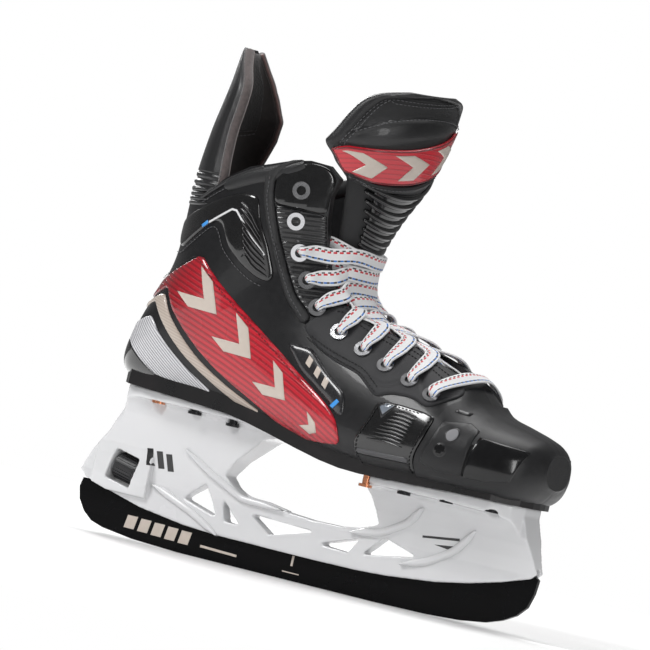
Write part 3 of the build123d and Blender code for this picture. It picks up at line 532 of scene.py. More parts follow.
def tree_of(points):
    tree = KDTree(len(points))
    for i, p in enumerate(points):
        tree.insert((float(p[0]), float(p[1]), 0.0), i)
    tree.balance()
    return tree


def gap_to(tree, points):
    """Distance from each point to the nearest point of the tree."""
    return np.array([tree.find((p[0], p[1], 0))[2] for p in points])


def anticlockwise(poly):
    x, y = poly[:, 0], poly[:, 1]
    area = 0.5 * np.sum(x * np.roll(y, -1) - np.roll(x, -1) * y)
    return poly[::-1] if area < 0 else poly


def inset_ring(poly, tree, depth, share):
    """Points a little way in from an outline, where there is room for them."""
    tangent = np.roll(poly, -1, axis=0) - np.roll(poly, 1, axis=0)
    normal = np.stack([-tangent[:, 1], tangent[:, 0]], axis=1)
    normal /= np.linalg.norm(normal, axis=1)[:, None] + 1e-9
    ring = poly + normal * depth
    return [p for p, ok in zip(ring, inside(poly, ring)) if ok and gap_to(tree, [p])[0] > depth * share]


def triangulate(poly, extra):
    """Flat points and triangles that fill an outline, using the extra points inside it."""
    points = [Vector(p) for p in list(poly) + extra]
    verts, _, faces, _, _, _ = delaunay_2d_cdt(points, [], [list(range(len(poly)))], 1, 1e-5)
    return np.array([tuple(v) for v in verts]), [list(f) for f in faces]


def close_rim(verts, faces, base):
    """Add walls from a surface's open rim down to its base points."""
    edges = dict.fromkeys((f[i], f[(i + 1) % len(f)]) for f in faces for i in range(len(f)))
    low = {}
    for a, b in [e for e in edges if (e[1], e[0]) not in edges]:
        for v in (a, b):
            if v not in low:
                low[v] = len(verts)
                verts.append(tuple(base[v]))
        faces.append([b, a, low[a], low[b]])


def panel_mesh(flat, lift, bevel, step, height):
    """Points and faces of a raised panel over an unrolled outline."""
    poly = [flat[0]]
    for p in flat[1:]:
        if math.dist(p, poly[-1]) > 0.25:
            poly.append(p)
    if math.dist(poly[0], poly[-1]) < 0.25:
        poly.pop()
    poly = anticlockwise(np.array(poly))
    tree = tree_of(densify(poly.tolist(), 0.4))
    extra = inset_ring(poly, tree, bevel * 0.3, 0.75) + inset_ring(poly, tree, bevel, 0.75)
    lo, hi = poly.min(axis=0), poly.max(axis=0)
    gx, gy = np.meshgrid(np.arange(lo[0], hi[0], step), np.arange(lo[1], hi[1], step * 0.9))
    gx = gx + (np.arange(gx.shape[0]) % 2)[:, None] * step / 2
    grid = np.stack([gx.ravel(), gy.ravel()], axis=1)
    grid = [p for p in grid[inside(poly, grid)] if gap_to(tree, [p])[0] > bevel + step * 0.35]
    flat_pts, faces = triangulate(poly, extra + grid)
    u = np.interp(flat_pts[:, 0], ROW_LEN, np.arange(len(ROWS)))
    t = flat_pts[:, 1] / V_SPAN * math.pi
    p, nrm = form_frame(u, t)
    p[t <= 0.021, 1] = 0.0
    d = gap_to(tree, flat_pts)
    share = np.clip(d / bevel, 0, 1)
    rise = PANEL_BASE + lift * np.sqrt(np.clip(1 - (1 - share) ** 2, 0, 1))
    if height is not None:
        rise = rise + height(p[:, 0], p[:, 2]) * np.clip(d / (bevel + 0.4), 0, 1)
    top = p + nrm * rise[:, None]
    a, b, c = (top[[f[i] for f in faces]] for i in range(3))
    outward = nrm[[f[0] for f in faces]]
    wrong = np.sum(np.cross(b - a, c - a) * outward, axis=1) < 0
    faces = [f[::-1] if w else f for f, w in zip(faces, wrong)]
    verts = [tuple(q) for q in top]
    close_rim(verts, faces, p - nrm * 0.5)
    return verts, faces


def line_on_boot(path, out, gap, rounds=2):
    """Points and normals along a side-view line, laid on the boot."""
    pts = densify([tuple(p) for p in soften(path, rounds, False)], gap, False)
    res = [on_boot(x, z, out) for x, z in pts]
    return np.array([r[0] for r in res]), np.array([r[1] for r in res])


def unit(vectors):
    return vectors / (np.linalg.norm(vectors, axis=-1)[..., None] + 1e-9)


def run_of(points):
    """Distance along a line at each of its points."""
    return np.concatenate([[0], np.cumsum(np.linalg.norm(np.diff(points, axis=0), axis=1))])


def sweep(points, normals, width, thick, sides, taper=None, power=1.0):
    """Vertices, faces and UVs of a flattened tube along points; normals set its flat side."""
    points, normals = np.asarray(points, float), np.asarray(normals, float)
    n = len(points)
    tangent = unit(np.gradient(points, axis=0))
    across = unit(np.cross(tangent, normals))
    top = np.cross(across, tangent)
    run = run_of(points)
    verts, faces, uvs = [], [], []
    for i in range(n):
        k = 1.0 if taper is None else taper[i]
        rise = thick / 2 * (1 if k == 1 else (2 - k) ** 0.5)
        for j in range(sides):
            a = 2 * math.pi * j / sides
            c = bent(math.cos(a), power)
            s = bent(math.sin(a), power)
            verts.append(points[i] + across[i] * (c * width / 2 * k) + top[i] * (s * rise))
            uvs.append((0.5 + 0.5 * c, run[i]))
    for i in range(n - 1):
        for j in range(sides):
            k = (j + 1) % sides
            faces.append([i * sides + j, (i + 1) * sides + j, (i + 1) * sides + k, i * sides + k])
    faces.append(list(range(sides)))
    faces.append([(n - 1) * sides + j for j in reversed(range(sides))])
    return verts, faces, uvs


def joined(parts):
    """Several meshes' points and faces as one."""
    verts, faces = [], []
    for part in parts:
        faces += [[q + len(verts) for q in f] for f in part[1]]
        verts += part[0]
    return verts, faces


def both(name, verts, faces, mat, node=None):
    """A piece for the right side and its mirror image for the left, standing for a pair of CAD nodes."""
    made = []
    for tag, sign in (("right", 1), ("left", -1)):
        v = [(p[0], p[1] * sign, p[2]) for p in verts]
        f = faces if sign > 0 else [list(reversed(g)) for g in faces]
        o = make("vis_" + name + "_" + tag, v, f, mat)
        if node:
            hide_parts(node + "_" + tag)
        made.append(o)
    return made


STITCH_FORM = ((0.0, -0.12, 0.35), (0.18, 0.18, 0.9), (0.5, 0.32, 1.0), (0.82, 0.18, 0.9),
               (1.0, -0.12, 0.35))
PLAIN = (2.6, 1.9, 0.26)        # pitch, length and radius of the thread's stitches
BOLD = (2.4, 1.7, 0.3)
BOLD_LONG = (2.5, 1.8, 0.3)
FINE = (2.6, 1.9, 0.2)
GUARD_SEAM = (2.8, 2.0, 0.28)
GUARD_ARC = (2.8, 2.0, 0.3)


def stitch_mesh(points, normals, thread):
    """Separate thread stitches along a line of points."""
    points, normals = np.asarray(points), np.asarray(normals)
    pitch, length, r = thread
    run = run_of(points)

    def at(s, values):
        return np.array([np.interp(s, run, values[:, i]) for i in range(3)])

    verts, faces = [], []
    for k in range(int(run[-1] / pitch)):
        s0 = k * pitch + pitch / 2 - length / 2
        ring = []
        for q, h, w in STITCH_FORM:
            s = s0 + q * length
            c = at(s, points)
            m = at(s, normals)
            m /= np.linalg.norm(m) + 1e-9
            e = at(s + 0.3, points) - at(s - 0.3, points)
            e /= np.linalg.norm(e) + 1e-9
            side = np.cross(e, m)
            ring.append(len(verts))
            for j in range(6):
                a = math.pi / 3 * j
                verts.append(c + m * (h + math.sin(a) * r * w) + side * (math.cos(a) * r * w))
        for a, b in zip(ring, ring[1:]):
            for j in range(6):
                faces.append([a + j, a + (j + 1) % 6, b + (j + 1) % 6, b + j])
    return verts, faces


def piping(name, path, out, width, thick, mat, rounds):
    pts, nrm = line_on_boot(path, out, 1.0, rounds)
    v, f, _ = sweep(pts, nrm, width, thick, 8)
    both(name, v, f, mat)


def groove(lines, width, depth):
    """A height function that presses lines into a panel."""
    trees = [tree_of(densify([tuple(p) for p in soften(line, 2, False)], 0.4, False)) for line in lines]

    def height(x, z):
        out = np.zeros(len(x))
        for tree in trees:
            near = gap_to(tree, zip(x, z))
            out = np.minimum(out, -depth * np.clip(1 - (near / width) ** 2, 0, 1))
        return out
    return height


# ---------------------------------------------------------------- boot panels
WING = [
    (-160, 115.3), (-131, 115.3), (-122, 108.9), (-113, 102.8), (-103, 96.8), (-92, 92.8), (-80,
            90.8), (-58, 89.8),
    (-62, 93.5), (-70, 98.0), (-78, 103.0), (-88, 109.6), (-98, 117), (-107, 125), (-113, 132.2), (-126,
            126.2), (-160, 126.2),
]
STRIPE = [
    (-150, 134.5), (-126, 134.5), (-114, 141), (-104.5, 130), (-95, 120.8), (-85, 112.8), (-74, 106), (-62,
            99.5),
    (-50, 93.6), (-38, 89.4), (-21, 85.2), (-30, 90), (-43, 95.8), (-55, 101.2), (-66, 107.0), (-77, 114.0),
    (-88, 123.2), (-99, 134), (-107, 146.5), (-123, 138.3), (-150, 138.3),
]
SIDE_PANEL = [
    (-150, 141), (-123, 141), (-106.6, 150.4), (-98.5, 137.8), (-87.6, 127.3), (-76.6, 118.2), (-65.6,
            110.7),
    (-54.6, 104.7), (-42.6, 99.1), (-29.6, 92.7), (-20, 87.6), (-10, 84.4), (0, 83.0), (14, 83.0), (27.5,
            84.4), (25.5, 92), (21.5, 99),
    (14, 104.9), (4, 111), (-10, 119), (-24, 128), (-36, 135.5), (-47, 142.7), (-58, 150), (-70,
            159), (-86, 172.5),
    (-118, 152), (-150, 152),
]
SPEED_PLATE = [(-22, 134.3), (-5, 134.3), (9, 122.5), (24.5, 113.4), (27, 101), (22.4, 100.4), (15, 106.4),
               (5, 112.8), (-9, 120.8)]
BADGE = [
    (-107, 173.6), (-83.5, 193.6), (-77, 193), (-70, 181), (-60, 173), (-50, 167), (-42, 165.2), (-39,
            170), (-45, 187),
    (-52, 199.5), (-56, 213), (-68, 213), (-84, 206), (-100, 197), (-113, 190), (-113, 178),
]
GUARD = [
    (46.5, 111.3), (45, 104.3), (38.2, 91), (38.6, 84), (42, 77), (79.6, 77), (78.9, 84), (79.6, 90), (83,
            100),
    (85.6, 110.4), (84.4, 112.8), (78, 113.8), (62, 114.8), (54, 114.6), (48.5, 113.2),
]
EYESTAY = [
    (-15.6, 145.2), (-2, 135), (10, 130), (28, 126), (44, 115.4), (54, 119.4), (68, 119.8), (78,
            116), (85.3, 121.4),
    (91.0, 126.4), (88.5, 131.5), (79.5, 137.6), (66, 142.6), (48, 148.0), (30, 152.4), (13, 157.8), (3.5,
            163.2), (-3.6, 160.6),
]
FACING = [
    (-47, 216), (-43.8, 206), (-38.2, 190), (-32.5, 175), (-24.5, 161.5), (-11.5, 151), (-3.8,
            160.8), (1.5, 164.6), (-1.5, 167.2),
    (-9.9, 178), (-15.4, 194), (-16.9, 208), (-17, 210.4), (-46, 210.4),
]
CAP = [(-46.6, 210.8), (-17, 210.8), (-17, 222), (-14.8, 232), (-20, 238), (-30, 238.6), (-43, 233),
       (-48, 225)]
BIND = [
    (-33, 239.5), (-42, 237), (-49, 232), (-55, 226), (-53.5, 214), (-50, 204), (-44, 188), (-38,
            173), (-29, 158), (-16.4, 146.2),
    (-11.9, 151), (-24.5, 161.5), (-32.5, 175), (-38.2, 190), (-43.8, 206), (-47, 216), (-48, 225), (-43,
            233),
]
EYESTAY_LINES = [
    [(-10, 142.5), (6, 133.5), (28, 127.6), (40, 123.4), (49, 122.4), (58, 128.5), (61, 136), (58, 142)],
    [(62, 139.5), (66, 131), (73, 123.5), (82, 121.2), (88, 127.0)],
    [(17, 131.5), (30, 121.5), (38, 124.0)],
]
EYESTAY_GROOVES = groove(EYESTAY_LINES, 1.5, 0.9)
# Name, outline, finish, lift, edge width, mesh step, rounds of corner cutting, height function.
PANELS = [
    ("side_panel", SIDE_PANEL, "red", 1.0, 1.0, 2.4, 1, None),
    ("stripe", STRIPE, "stripe", 0.9, 0.8, 2.2, 2, None),
    ("heel_wing", WING, "wing", 0.9, 0.7, 2.4, 2, None),
    ("speed_plate", SPEED_PLATE, "plate", 1.2, 2.0, 1.6, 2, None),
    ("ankle_badge", BADGE, "gloss", 1.1, 1.4, 1.8, 2, None),
    ("vamp_guard", GUARD, "gloss", 0.9, 1.0, 1.6, 2, None),
    ("eyestay", EYESTAY, "eyestay", 1.5, 1.4, 1.5, 2, EYESTAY_GROOVES),
    ("facing", FACING, "ribbed", 1.2, 0.8, 2.0, 1, None),
    ("facing_cap", CAP, "gloss", 1.3, 1.4, 2.0, 2, None),
    ("binding", BIND, "webbing", 1.7, 1.2, 1.6, 1, None),
]
for name, outline, mat, lift, bevel, step, rounds, height in PANELS:
    flat = flat_map(densify([tuple(p) for p in soften(outline, rounds)], 1.6))
    verts, faces = panel_mesh(flat, lift, bevel, step, height)
    both(name, verts, faces, mat, name)


# ---------------------------------------------------------------- general curved patches
def patch_mesh(outline, place, out, thick, step, bevel=0.35):
    """A raised mark: an outline in a surface's own coordinates, put on it by place(x, y, out)."""
    pts = []
    for p in densify([tuple(q) for q in outline], step):
        if not pts or math.dist(p, pts[-1]) > 0.05:
            pts.append(p)
    poly = anticlockwise(np.array(pts))
    tree = tree_of(densify(poly.tolist(), 0.3))
    lo, hi = poly.min(axis=0), poly.max(axis=0)
    gx, gy = np.meshgrid(np.arange(lo[0], hi[0], step), np.arange(lo[1], hi[1], step))
    grid = np.stack([gx.ravel(), gy.ravel()], axis=1)
    room = max(step * 0.4, bevel + 0.2)
    grid = [p for p in grid[inside(poly, grid)] if gap_to(tree, [p])[0] > room]
    flat, faces = triangulate(poly, inset_ring(poly, tree, bevel, 0.8) + grid)
    rise = out + thick * np.where(gap_to(tree, flat) > bevel * 0.7, 1.0, 0.55)
    verts = [tuple(place(x, y, r)) for (x, y), r in zip(flat, rise)]
    base = [place(x, y, out - 0.3) for x, y in flat]
    p = np.array(verts)

    def face_normal(f):
        return np.cross(p[f[1]] - p[f[0]], p[f[2]] - p[f[0]])

    largest = max(faces, key=lambda f: np.linalg.norm(face_normal(f)))
    if np.dot(face_normal(largest), p[largest[0]] - np.array(base[largest[0]])) < 0:
        faces = [f[::-1] for f in faces]
    close_rim(verts, faces, base)
    return verts, faces


def mark_on_boot(name, outline, out, mat, thick, step=2.0):
    v, f = patch_mesh(outline, lambda x, z, r: on_boot(x, z, r)[0], out, thick, step)
    both(name, v, f, mat)


def rotated(shape, centre, angle, scale=1.0):
    c, s = math.cos(math.radians(angle)), math.sin(math.radians(angle))
    return [(centre[0] + scale * (x * c - y * s), centre[1] + scale * (x * s + y * c)) for x, y in shape]


CHEVRON = [(-13, 9), (-3, 9), (10, 0), (-3, -9), (-13, -9), (0, 0)]
ARROW = [(-4, 5), (5, 4), (9, 0), (5, -4), (-4, -5), (2, 0)]
SMALL_BAR = [(-3.4, 2.6), (1.2, 2.6), (3.4, -2.6), (-1.2, -2.6)]
PLATE_BAR = [(-3.4, 1.4), (3.0, 1.4), (3.4, -1.4), (-3.0, -1.4)]
BADGE_BAR = [(-2.6, 0.9), (2.6, 0.9), (2.6, -0.9), (-2.6, -0.9)]
# Name, shape, centre, turn in degrees, scale, height over the boot, finish, thickness.
TURNED_MARKS = [
    ("panel_mark_a", CHEVRON, (-77.5, 148.0), -37, 1.2, 1.15, "mark", 0.35),
    ("panel_mark_b", CHEVRON, (-50.5, 127.2), -37, 1.15, 1.15, "mark", 0.35),
    ("panel_mark_c", CHEVRON, (-22.0, 107.6), -36, 1.0, 1.15, "mark", 0.35),
    ("panel_mark_d", ARROW, (3.5, 92.5), -30, 0.95, 1.15, "mark", 0.35),
    ("plate_mark_0", SMALL_BAR, (-4.0, 126.4), -34, 0.9, 1.3, "mark", 0.25),
    ("plate_mark_1", SMALL_BAR, (3.0, 121.6), -34, 0.9, 1.3, "mark", 0.25),
    ("plate_mark_2", SMALL_BAR, (10.0, 116.7), -34, 0.9, 1.3, "mark", 0.25),
    ("plate_blue", PLATE_BAR, (20.0, 106.5), 52, 0.9, 1.3, "blue", 0.25),
    ("badge_blue", BADGE_BAR, (-89.0, 190.4), 42, 1.0, 1.3, "blue", 0.3),
]
for name, shape, centre, turn, scale, out, mat, thick in TURNED_MARKS:
    mark_on_boot(name, rotated(shape, centre, turn, scale), out, mat, thick)


def ribs_on_boot(name, lines, out, width, thick, mat):
    """Moulded ribs along several side-view lines, as one piece a side."""
    parts = []
    for line in lines:
        pts, nrm = line_on_boot(line, out, 1.2, 1)
        taper = [0.35 + 0.65 * min(1.0, 4.0 * min(k, len(pts) - 1 - k) / len(pts)) for k in range(len(pts))]
        parts.append(sweep(pts, nrm, width, thick, 8, taper=taper))
    verts, faces = joined(parts)
    both(name, verts, faces, mat)


VAMP_RIBS = [
    [(47.5 + 1.72 * k, 92.0 + 2.15 * k), (60.0 + 1.0 * k, 92.4 + 2.1 * k),
     (70.6 + 0.5 * k, 91.4 + 2.05 * k)]
    for k in range(10)
]
ribs_on_boot("vamp_ribs", VAMP_RIBS, 1.05, 1.7, 1.9, "gloss")
BADGE_RIBS = [[(-66.5 + 1.1 * k, 207.5 - 3.6 * k), (-58 + 0.8 * k, 202.5 - 3.8 * k),
               (-50.8 + 1.0 * k, 193.5 - 3.1 * k)] for k in range(9)]
ribs_on_boot("badge_ribs", BADGE_RIBS, 1.1, 2.2, 1.7, "gloss")
mark_on_boot("vamp_lower", [(40.5, 82.6), (76.5, 83.6), (77.4, 78), (43.2, 78)], 0.95, "toe", 0.35)
mark_on_boot("vamp_strip", [(40.8, 85.6), (75.0, 86.4), (76.0, 83.9), (40.6, 82.9)], 0.95, "satin", 0.5)
mark_on_boot("vamp_insert", [(50, 111), (54.3, 113.4), (59.2, 113.0), (53.6, 106.8)], 1.0, "gel", 0.6)
mark_on_boot("vamp_notch", [(48.6, 111.6), (54.0, 114.2), (61.0, 113.8), (53.4, 104.6)], 0.85, "mark_dark",
             0.45)


# ---------------------------------------------------------------- tongue
TONGUE = np.array([
    (79.0, 0.0, 130.2, 24, -48, 48, 0, 0, 3.0),
    (45.0, 0.0, 143.4, 23, -52, 52, 0, 0, 4.0),
    (24.0, 0.0, 150.9, 22, -56, 56, 0, 0, 4.5),
    (9.0, 0.0, 159.8, 21, -60, 60, 0, 0, 5.0),
    (1.5, 0.0, 170.5, 20, -68, 68, 0, 0, 6.0),
    (0.5, 0.0, 184.0, 18.5, -70, 70, 0, 0, 7.0),
    (3.5, 0.0, 200.0, 25, -68, 66, 2, 2, 7.5),
    (9.0, -1.0, 216.0, 33, -64, 60, 5, 5, 7.5),
    (17.5, -3.0, 234.0, 46, -60, 52, 8, 10, 7.5),
    (22.0, -6.0, 250.0, 54, -63, 47, 12, 15, 7.5),
    (24.5, -8.5, 264.0, 58, -66, 43, 14, 17, 7.5),
    (25.0, -8.5, 277.0, 60, -56, 40, 14, 14, 7.5),
    (26.0, -8.5, 287.0, 60, -44, 28, 14, 8, 7.0),
    (26.5, -9.0, 292.0, 60, -22, 14, 14, 5, 6.0),
])
TONGUE_END = len(TONGUE) - 1.0


def tongue_row(s):
    """The tongue's blended row at s, and its rate of change."""
    s = min(max(s, 0.0), TONGUE_END)
    i = min(int(s), len(TONGUE) - 2)
    f = s - i
    p0, p1, p2, p3 = neighbours(TONGUE, i)
    m1, m2 = (p2 - p0) / 2, (p3 - p1) / 2
    row = cubic(f, p1, p2, m1, m2)
    slope = ((6 * f**2 - 6 * f) * p1 + (3 * f**2 - 4 * f + 1) * m1
             + (6 * f - 6 * f**2) * p2 + (3 * f**2 - 2 * f) * m2)
    return row, slope


def tongue_point(s, w, out=0.0):
    """A point over the tongue's front, and its normal; s counts rows up, w runs -1 (right) to 1 (left)."""
    row, slope = tongue_row(s)
    run = np.array([slope[0], 0.0, slope[2]])
    run /= np.linalg.norm(run)
    yaw, roll = math.radians(row[6]), math.radians(row[7])
    front = np.array([run[2] * math.cos(yaw), -run[2] * math.sin(yaw), -run[0]])
    side = np.array([math.sin(yaw), math.cos(yaw) * math.cos(roll), math.cos(yaw) * math.sin(roll)])
    a = math.radians(row[4] + (row[5] - row[4]) * (w + 1) / 2)
    r = row[3] + out
    p = row[0:3] + front * (out - r * (1 - math.cos(a))) + side * (r * math.sin(a))
    return p, front * math.cos(a) + side * math.sin(a)


def tongue_width(s):
    row, _ = tongue_row(s)
    return row[3] * math.radians(row[5] - row[4]) / 2


def near_edge(s, w):
    """Distance in mm to the tongue's rim, over its upper part."""
    across = (1 - abs(w)) * tongue_width(s)
    above = (TONGUE_END - s) * 10.5 if s < 12 else (TONGUE_END - s) * 5.5
    return min(across, above + 0.35 * across)


def arch_top(w):
    """Row number of the arched seam over the tongue's upper pad."""
    return 10.1 + 1.15 * (1 - (w + 0.1) ** 2)


def tongue_relief(s, w):
    """Height of the rim roll, seams and pads over the tongue's plain front."""
    out = 0.0
    d = near_edge(s, w)
    if s > 8.2:
        out += 1.5 * math.sqrt(max(0.0, 1 - ((d - 4.2) / 4.4) ** 2)) if d < 8.6 else 0.0
        out -= 0.7 * math.exp(-((d - 9.3) / 0.9) ** 2)
    if 10.05 < s < 12.6 and d > 9.5:
        arch = arch_top(w)
        out += 1.1 * math.exp(-((s - arch) / 0.16) ** 2)
        out += 0.9 * max(0.0, 1 - ((s - 10.35 - 0.3 * (1 - w * w)) / 0.45) ** 2) if s < arch else 0.0
    if 7.6 < s < 8.3:
        out += 0.8 * max(0.0, 1 - ((s - 8.1) / 0.18) ** 2)
    return out


TONGUE_FRONT, TONGUE_RIM, TONGUE_BACK, TONGUE_PAD = range(4)


def tongue_mesh():
    """Points, faces and each face's material slot."""
    verts, faces, slots = [], [], []
    rows = np.concatenate([np.arange(0.0, 7.0, 0.22), np.arange(7.0, 12.4, 0.09),
                           np.arange(12.4, TONGUE_END, 0.06),
                           [TONGUE_END]])
    around = 96
    for s in rows:
        row, _ = tongue_row(s)
        thick = row[8] * math.sqrt(max(0.04, 1 - max(0.0, (s - 12.1) / 0.92) ** 2))
        for j in range(around):
            a = 2 * math.pi * j / around
            c, q = math.cos(a), math.sin(a)
            w = -bent(c, 0.72)
            depth = bent(q, 0.42)
            lift = -thick / 2 + thick / 2 * depth
            if q > 0:
                lift += tongue_relief(s, w) * min(1.0, q * 3)
            p, _ = tongue_point(s, w, lift)
            verts.append(p)
    n = len(rows)
    for i in range(n - 1):
        s = rows[i]
        for j in range(around):
            k = (j + 1) % around
            faces.append([i * around + j, i * around + k, (i + 1) * around + k, (i + 1) * around + j])
            a = 2 * math.pi * (j + 0.5) / around
            w = -bent(math.cos(a), 0.72)
            if s > 8.2 and near_edge(s, w) < 9.0:
                slots.append(TONGUE_RIM)
            elif math.sin(a) <= 0:
                slots.append(TONGUE_BACK)
            elif 10.0 < s < arch_top(w):
                slots.append(TONGUE_PAD)
            else:
                slots.append(TONGUE_FRONT)
    faces.append([j for j in reversed(range(around))])
    faces.append([(n - 1) * around + j for j in range(around)])
    slots += [TONGUE_BACK, TONGUE_RIM]
    return verts, faces, slots


tv, tf, ts = tongue_mesh()
tongue = make("vis_tongue", tv, tf, "tongue", None)
for key in ("leather", "felt", "eye_panel"):
    tongue.data.materials.append(M[key])
for poly, index in zip(tongue.data.polygons, ts):
    poly.material_index = index
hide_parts("tongue_lower", "tongue_upper", "tongue_shield")


TONGUE_GAP = 0.05     # spacing of points along a line on the tongue, in rows


def on_tongue(points, out):
    """Points and normals along a line of (row, width share) laid on the tongue."""
    pts, nrm = [], []
    for s, w in densify([(s, w * 3) for s, w in points], TONGUE_GAP, False):
        p, n = tongue_point(s, w / 3, out + tongue_relief(s, w / 3))
        pts.append(p)
        nrm.append(n)
    return np.array(pts), np.array(nrm)


def tongue_stitches(name, points, out):
    pts, nrm = on_tongue(points, out)
    v, f = stitch_mesh(pts, nrm, PLAIN)
    make(name, v, f, "thread", "tongue_top")


RIM_IN = 9.6          # distance of the rim's seam from the tongue's side
rim_near = [(s, -1 + RIM_IN / tongue_width(s)) for s in np.arange(8.5, 12.0, 0.12)]
rim_top = [(12.08, w) for w in np.linspace(-0.62, 0.55, 12)]
rim_far = [(s, 1 - RIM_IN / tongue_width(s)) for s in np.arange(11.9, 8.5, -0.12)]
tongue_stitches("vis_tongue_rim_stitch_a", rim_near + rim_top + rim_far, 0.25)
inner_near, inner_far = ([(s, w * 0.94) for s, w in line] for line in (rim_near, rim_far))
inner_top = [(11.85, w) for w in np.linspace(-0.58, 0.5, 12)]
tongue_stitches("vis_tongue_rim_stitch_b", inner_near + inner_top + inner_far, 0.2)
eye_seam = [(10.02 + 1.2 * (1 - (w + 0.1) ** 2), w) for w in np.linspace(-0.78, 0.8, 26)]
tongue_stitches("vis_tongue_eye_stitch", eye_seam, 0.2)

# Label: its lower and upper edges follow the tongue's rows.
LABEL_LOW = [(-0.93, 8.42), (-0.6, 8.22), (0.0, 8.36), (0.5, 8.48), (0.93, 8.62)]
LABEL_HIGH = [(-0.93, 9.62), (-0.74, 9.92), (0.0, 9.84), (0.5, 9.88), (0.93, 9.98)]


def line_at(line, x):
    return np.interp(x, [p[0] for p in line], [p[1] for p in line])


def label_place(x, t, out):
    """x runs -1 to 1 across, t 0 to 1 up the label."""
    lo = line_at(LABEL_LOW, x)
    hi = line_at(LABEL_HIGH, x)
    return tongue_point(lo + (hi - lo) * t, x, out)[0]


def label_patch(name, outline, out, thick, mat, step=1.6, bevel=0.5):
    """outline is in mm over the label: x about -42 to 42, y 0 to 24."""
    v, f = patch_mesh(outline, lambda x, y, r: label_place(x / 45.0, y / 24.0, r), out, thick, step, bevel)
    return make(name, v, f, mat, "tongue_top")


label = label_patch("vis_tongue_label", soften([(-42, 0), (42, 0), (42, 24), (-42, 24)], 2), 0.3, 1.5,
                    "label", 1.7, 0.9)
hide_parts("tongue_label")
LABEL_CHEVRON = [(-11, 20.5), (0, 20.5), (11, 12), (0, 3.5), (-11, 3.5), (-1, 12)]
for i, x in enumerate((-26, 0.0, 26)):
    label_patch("vis_label_mark_%d" % i, [(px * 0.95 + x, py) for px, py in LABEL_CHEVRON], 1.75, 0.5,
                "mark")
label_rim = [(x * 45, t * 24) for x, t in ((-0.92, 0.04), (0.92, 0.04), (0.92, 0.96), (-0.92, 0.96),
                                           (-0.92, 0.04))]
rim_points = densify(label_rim, 1.0, False)
rim_pts = [label_place(x / 45, t / 24, 1.75) for x, t in rim_points]
rim_nrm = [tongue_point(9, x / 45)[1] for x, t in rim_points]
v, f, _ = sweep(rim_pts, rim_nrm, 1.0, 0.8, 6)
make("vis_label_edge", v, f, "label_dark", "tongue_top")
band_line = [(line_at(LABEL_LOW, w) - 0.17, w) for w in np.linspace(-0.9, 0.93, 24)]
pts, nrm = on_tongue(band_line, 0.5)
v, f, _ = sweep(pts, nrm, 4.2, 1.4, 8, power=0.6)
make("vis_tongue_band", v, f, "webbing", "tongue_top")
tongue_stitches("vis_tongue_band_stitch", band_line, 1.3)

# Curved glossy ribs below the label, and the smooth plate under them.
RIB_STEPS = 30
rib_parts = []
for s in np.arange(5.05, 8.0, 0.293):
    spread = max(0, s - 6.5)
    across = np.linspace(-0.55 - 0.12 * spread, 0.72 + 0.06 * spread, RIB_STEPS)
    pts, nrm = zip(*(tongue_point(s - 0.16 * (1 - (w / 0.6) ** 2), w, 0.9) for w in across))
    taper = [0.5 + 0.5 * math.sin(math.pi * k / (RIB_STEPS - 1)) ** 0.3 for k in range(RIB_STEPS)]
    rib_parts.append(sweep(pts, nrm, 3.7, 3.2, 10, taper=taper))
ribs = make("vis_tongue_ribs", *joined(rib_parts), "gloss", None)
PLATE_OUTLINE = [(-16, 0), (19, 0), (21, 30), (20, 46), (-17, 46), (-15, 30)]
plate_v, plate_f = patch_mesh(PLATE_OUTLINE, lambda x, y, r: tongue_point(4.9 + y / 15.0, x / 30.0, r)[0],
                              0.1, 0.9, 2.0)
plate = make("vis_tongue_plate", plate_v, plate_f, "gloss", None)
for o in (ribs, plate, tongue):
    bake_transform(o)

# ---------------------------------------------------------------- lace
LACED = [
    ((-27.3, -35.9, 186.4), (0.50, -0.85, -0.17)), ((-20.2, -32.6, 171.8), (0.40, -0.91, 0.08)),
    ((-10.4, -31.3, 157.7), (0.29, -0.92, 0.27)), ((6.9, -31.3, 147.0), (0.18, -0.88, 0.44)),
    ((24.8, -32.4, 140.5), (0.09, -0.84, 0.54)), ((42.5, -35.0, 134.7), (0.03, -0.81, 0.59)),
    ((61.0, -38.0, 129.5), (0.07, -0.79, 0.61)), ((77.5, -40.2, 124.2), (0.14, -0.77, 0.63)),
]
EDGES = [
    (-12.3, 186.0), (-6.0, 172.7), (1.5, 165.2), (13.5, 157.9), (30.0, 152.9), (48.0, 148.4), (65.5,
            143.1), (80.0, 137.8),
]
CROSS_Z = [181.5, 172.5, 164.6, 157.3, 151.8, 147.2, 142.6]


EDGE_W = 0.62         # where a crossing strand lifts near the tongue's edge
EDGE_LIFT = 1.2


def mixed(a, b, share):
    return (a[0] + (b[0] - a[0]) * share, a[1] + (b[1] - a[1]) * share)


def tongue_at(z, w, out):
    """The tongue's point and normal at a height, found by halving."""
    lo, hi = 0.0, TONGUE_END
    for _ in range(30):
        mid = (lo + hi) / 2
        if tongue_row(mid)[0][2] < z:
            lo = mid
        else:
            hi = mid
    return tongue_point(lo, w, out)


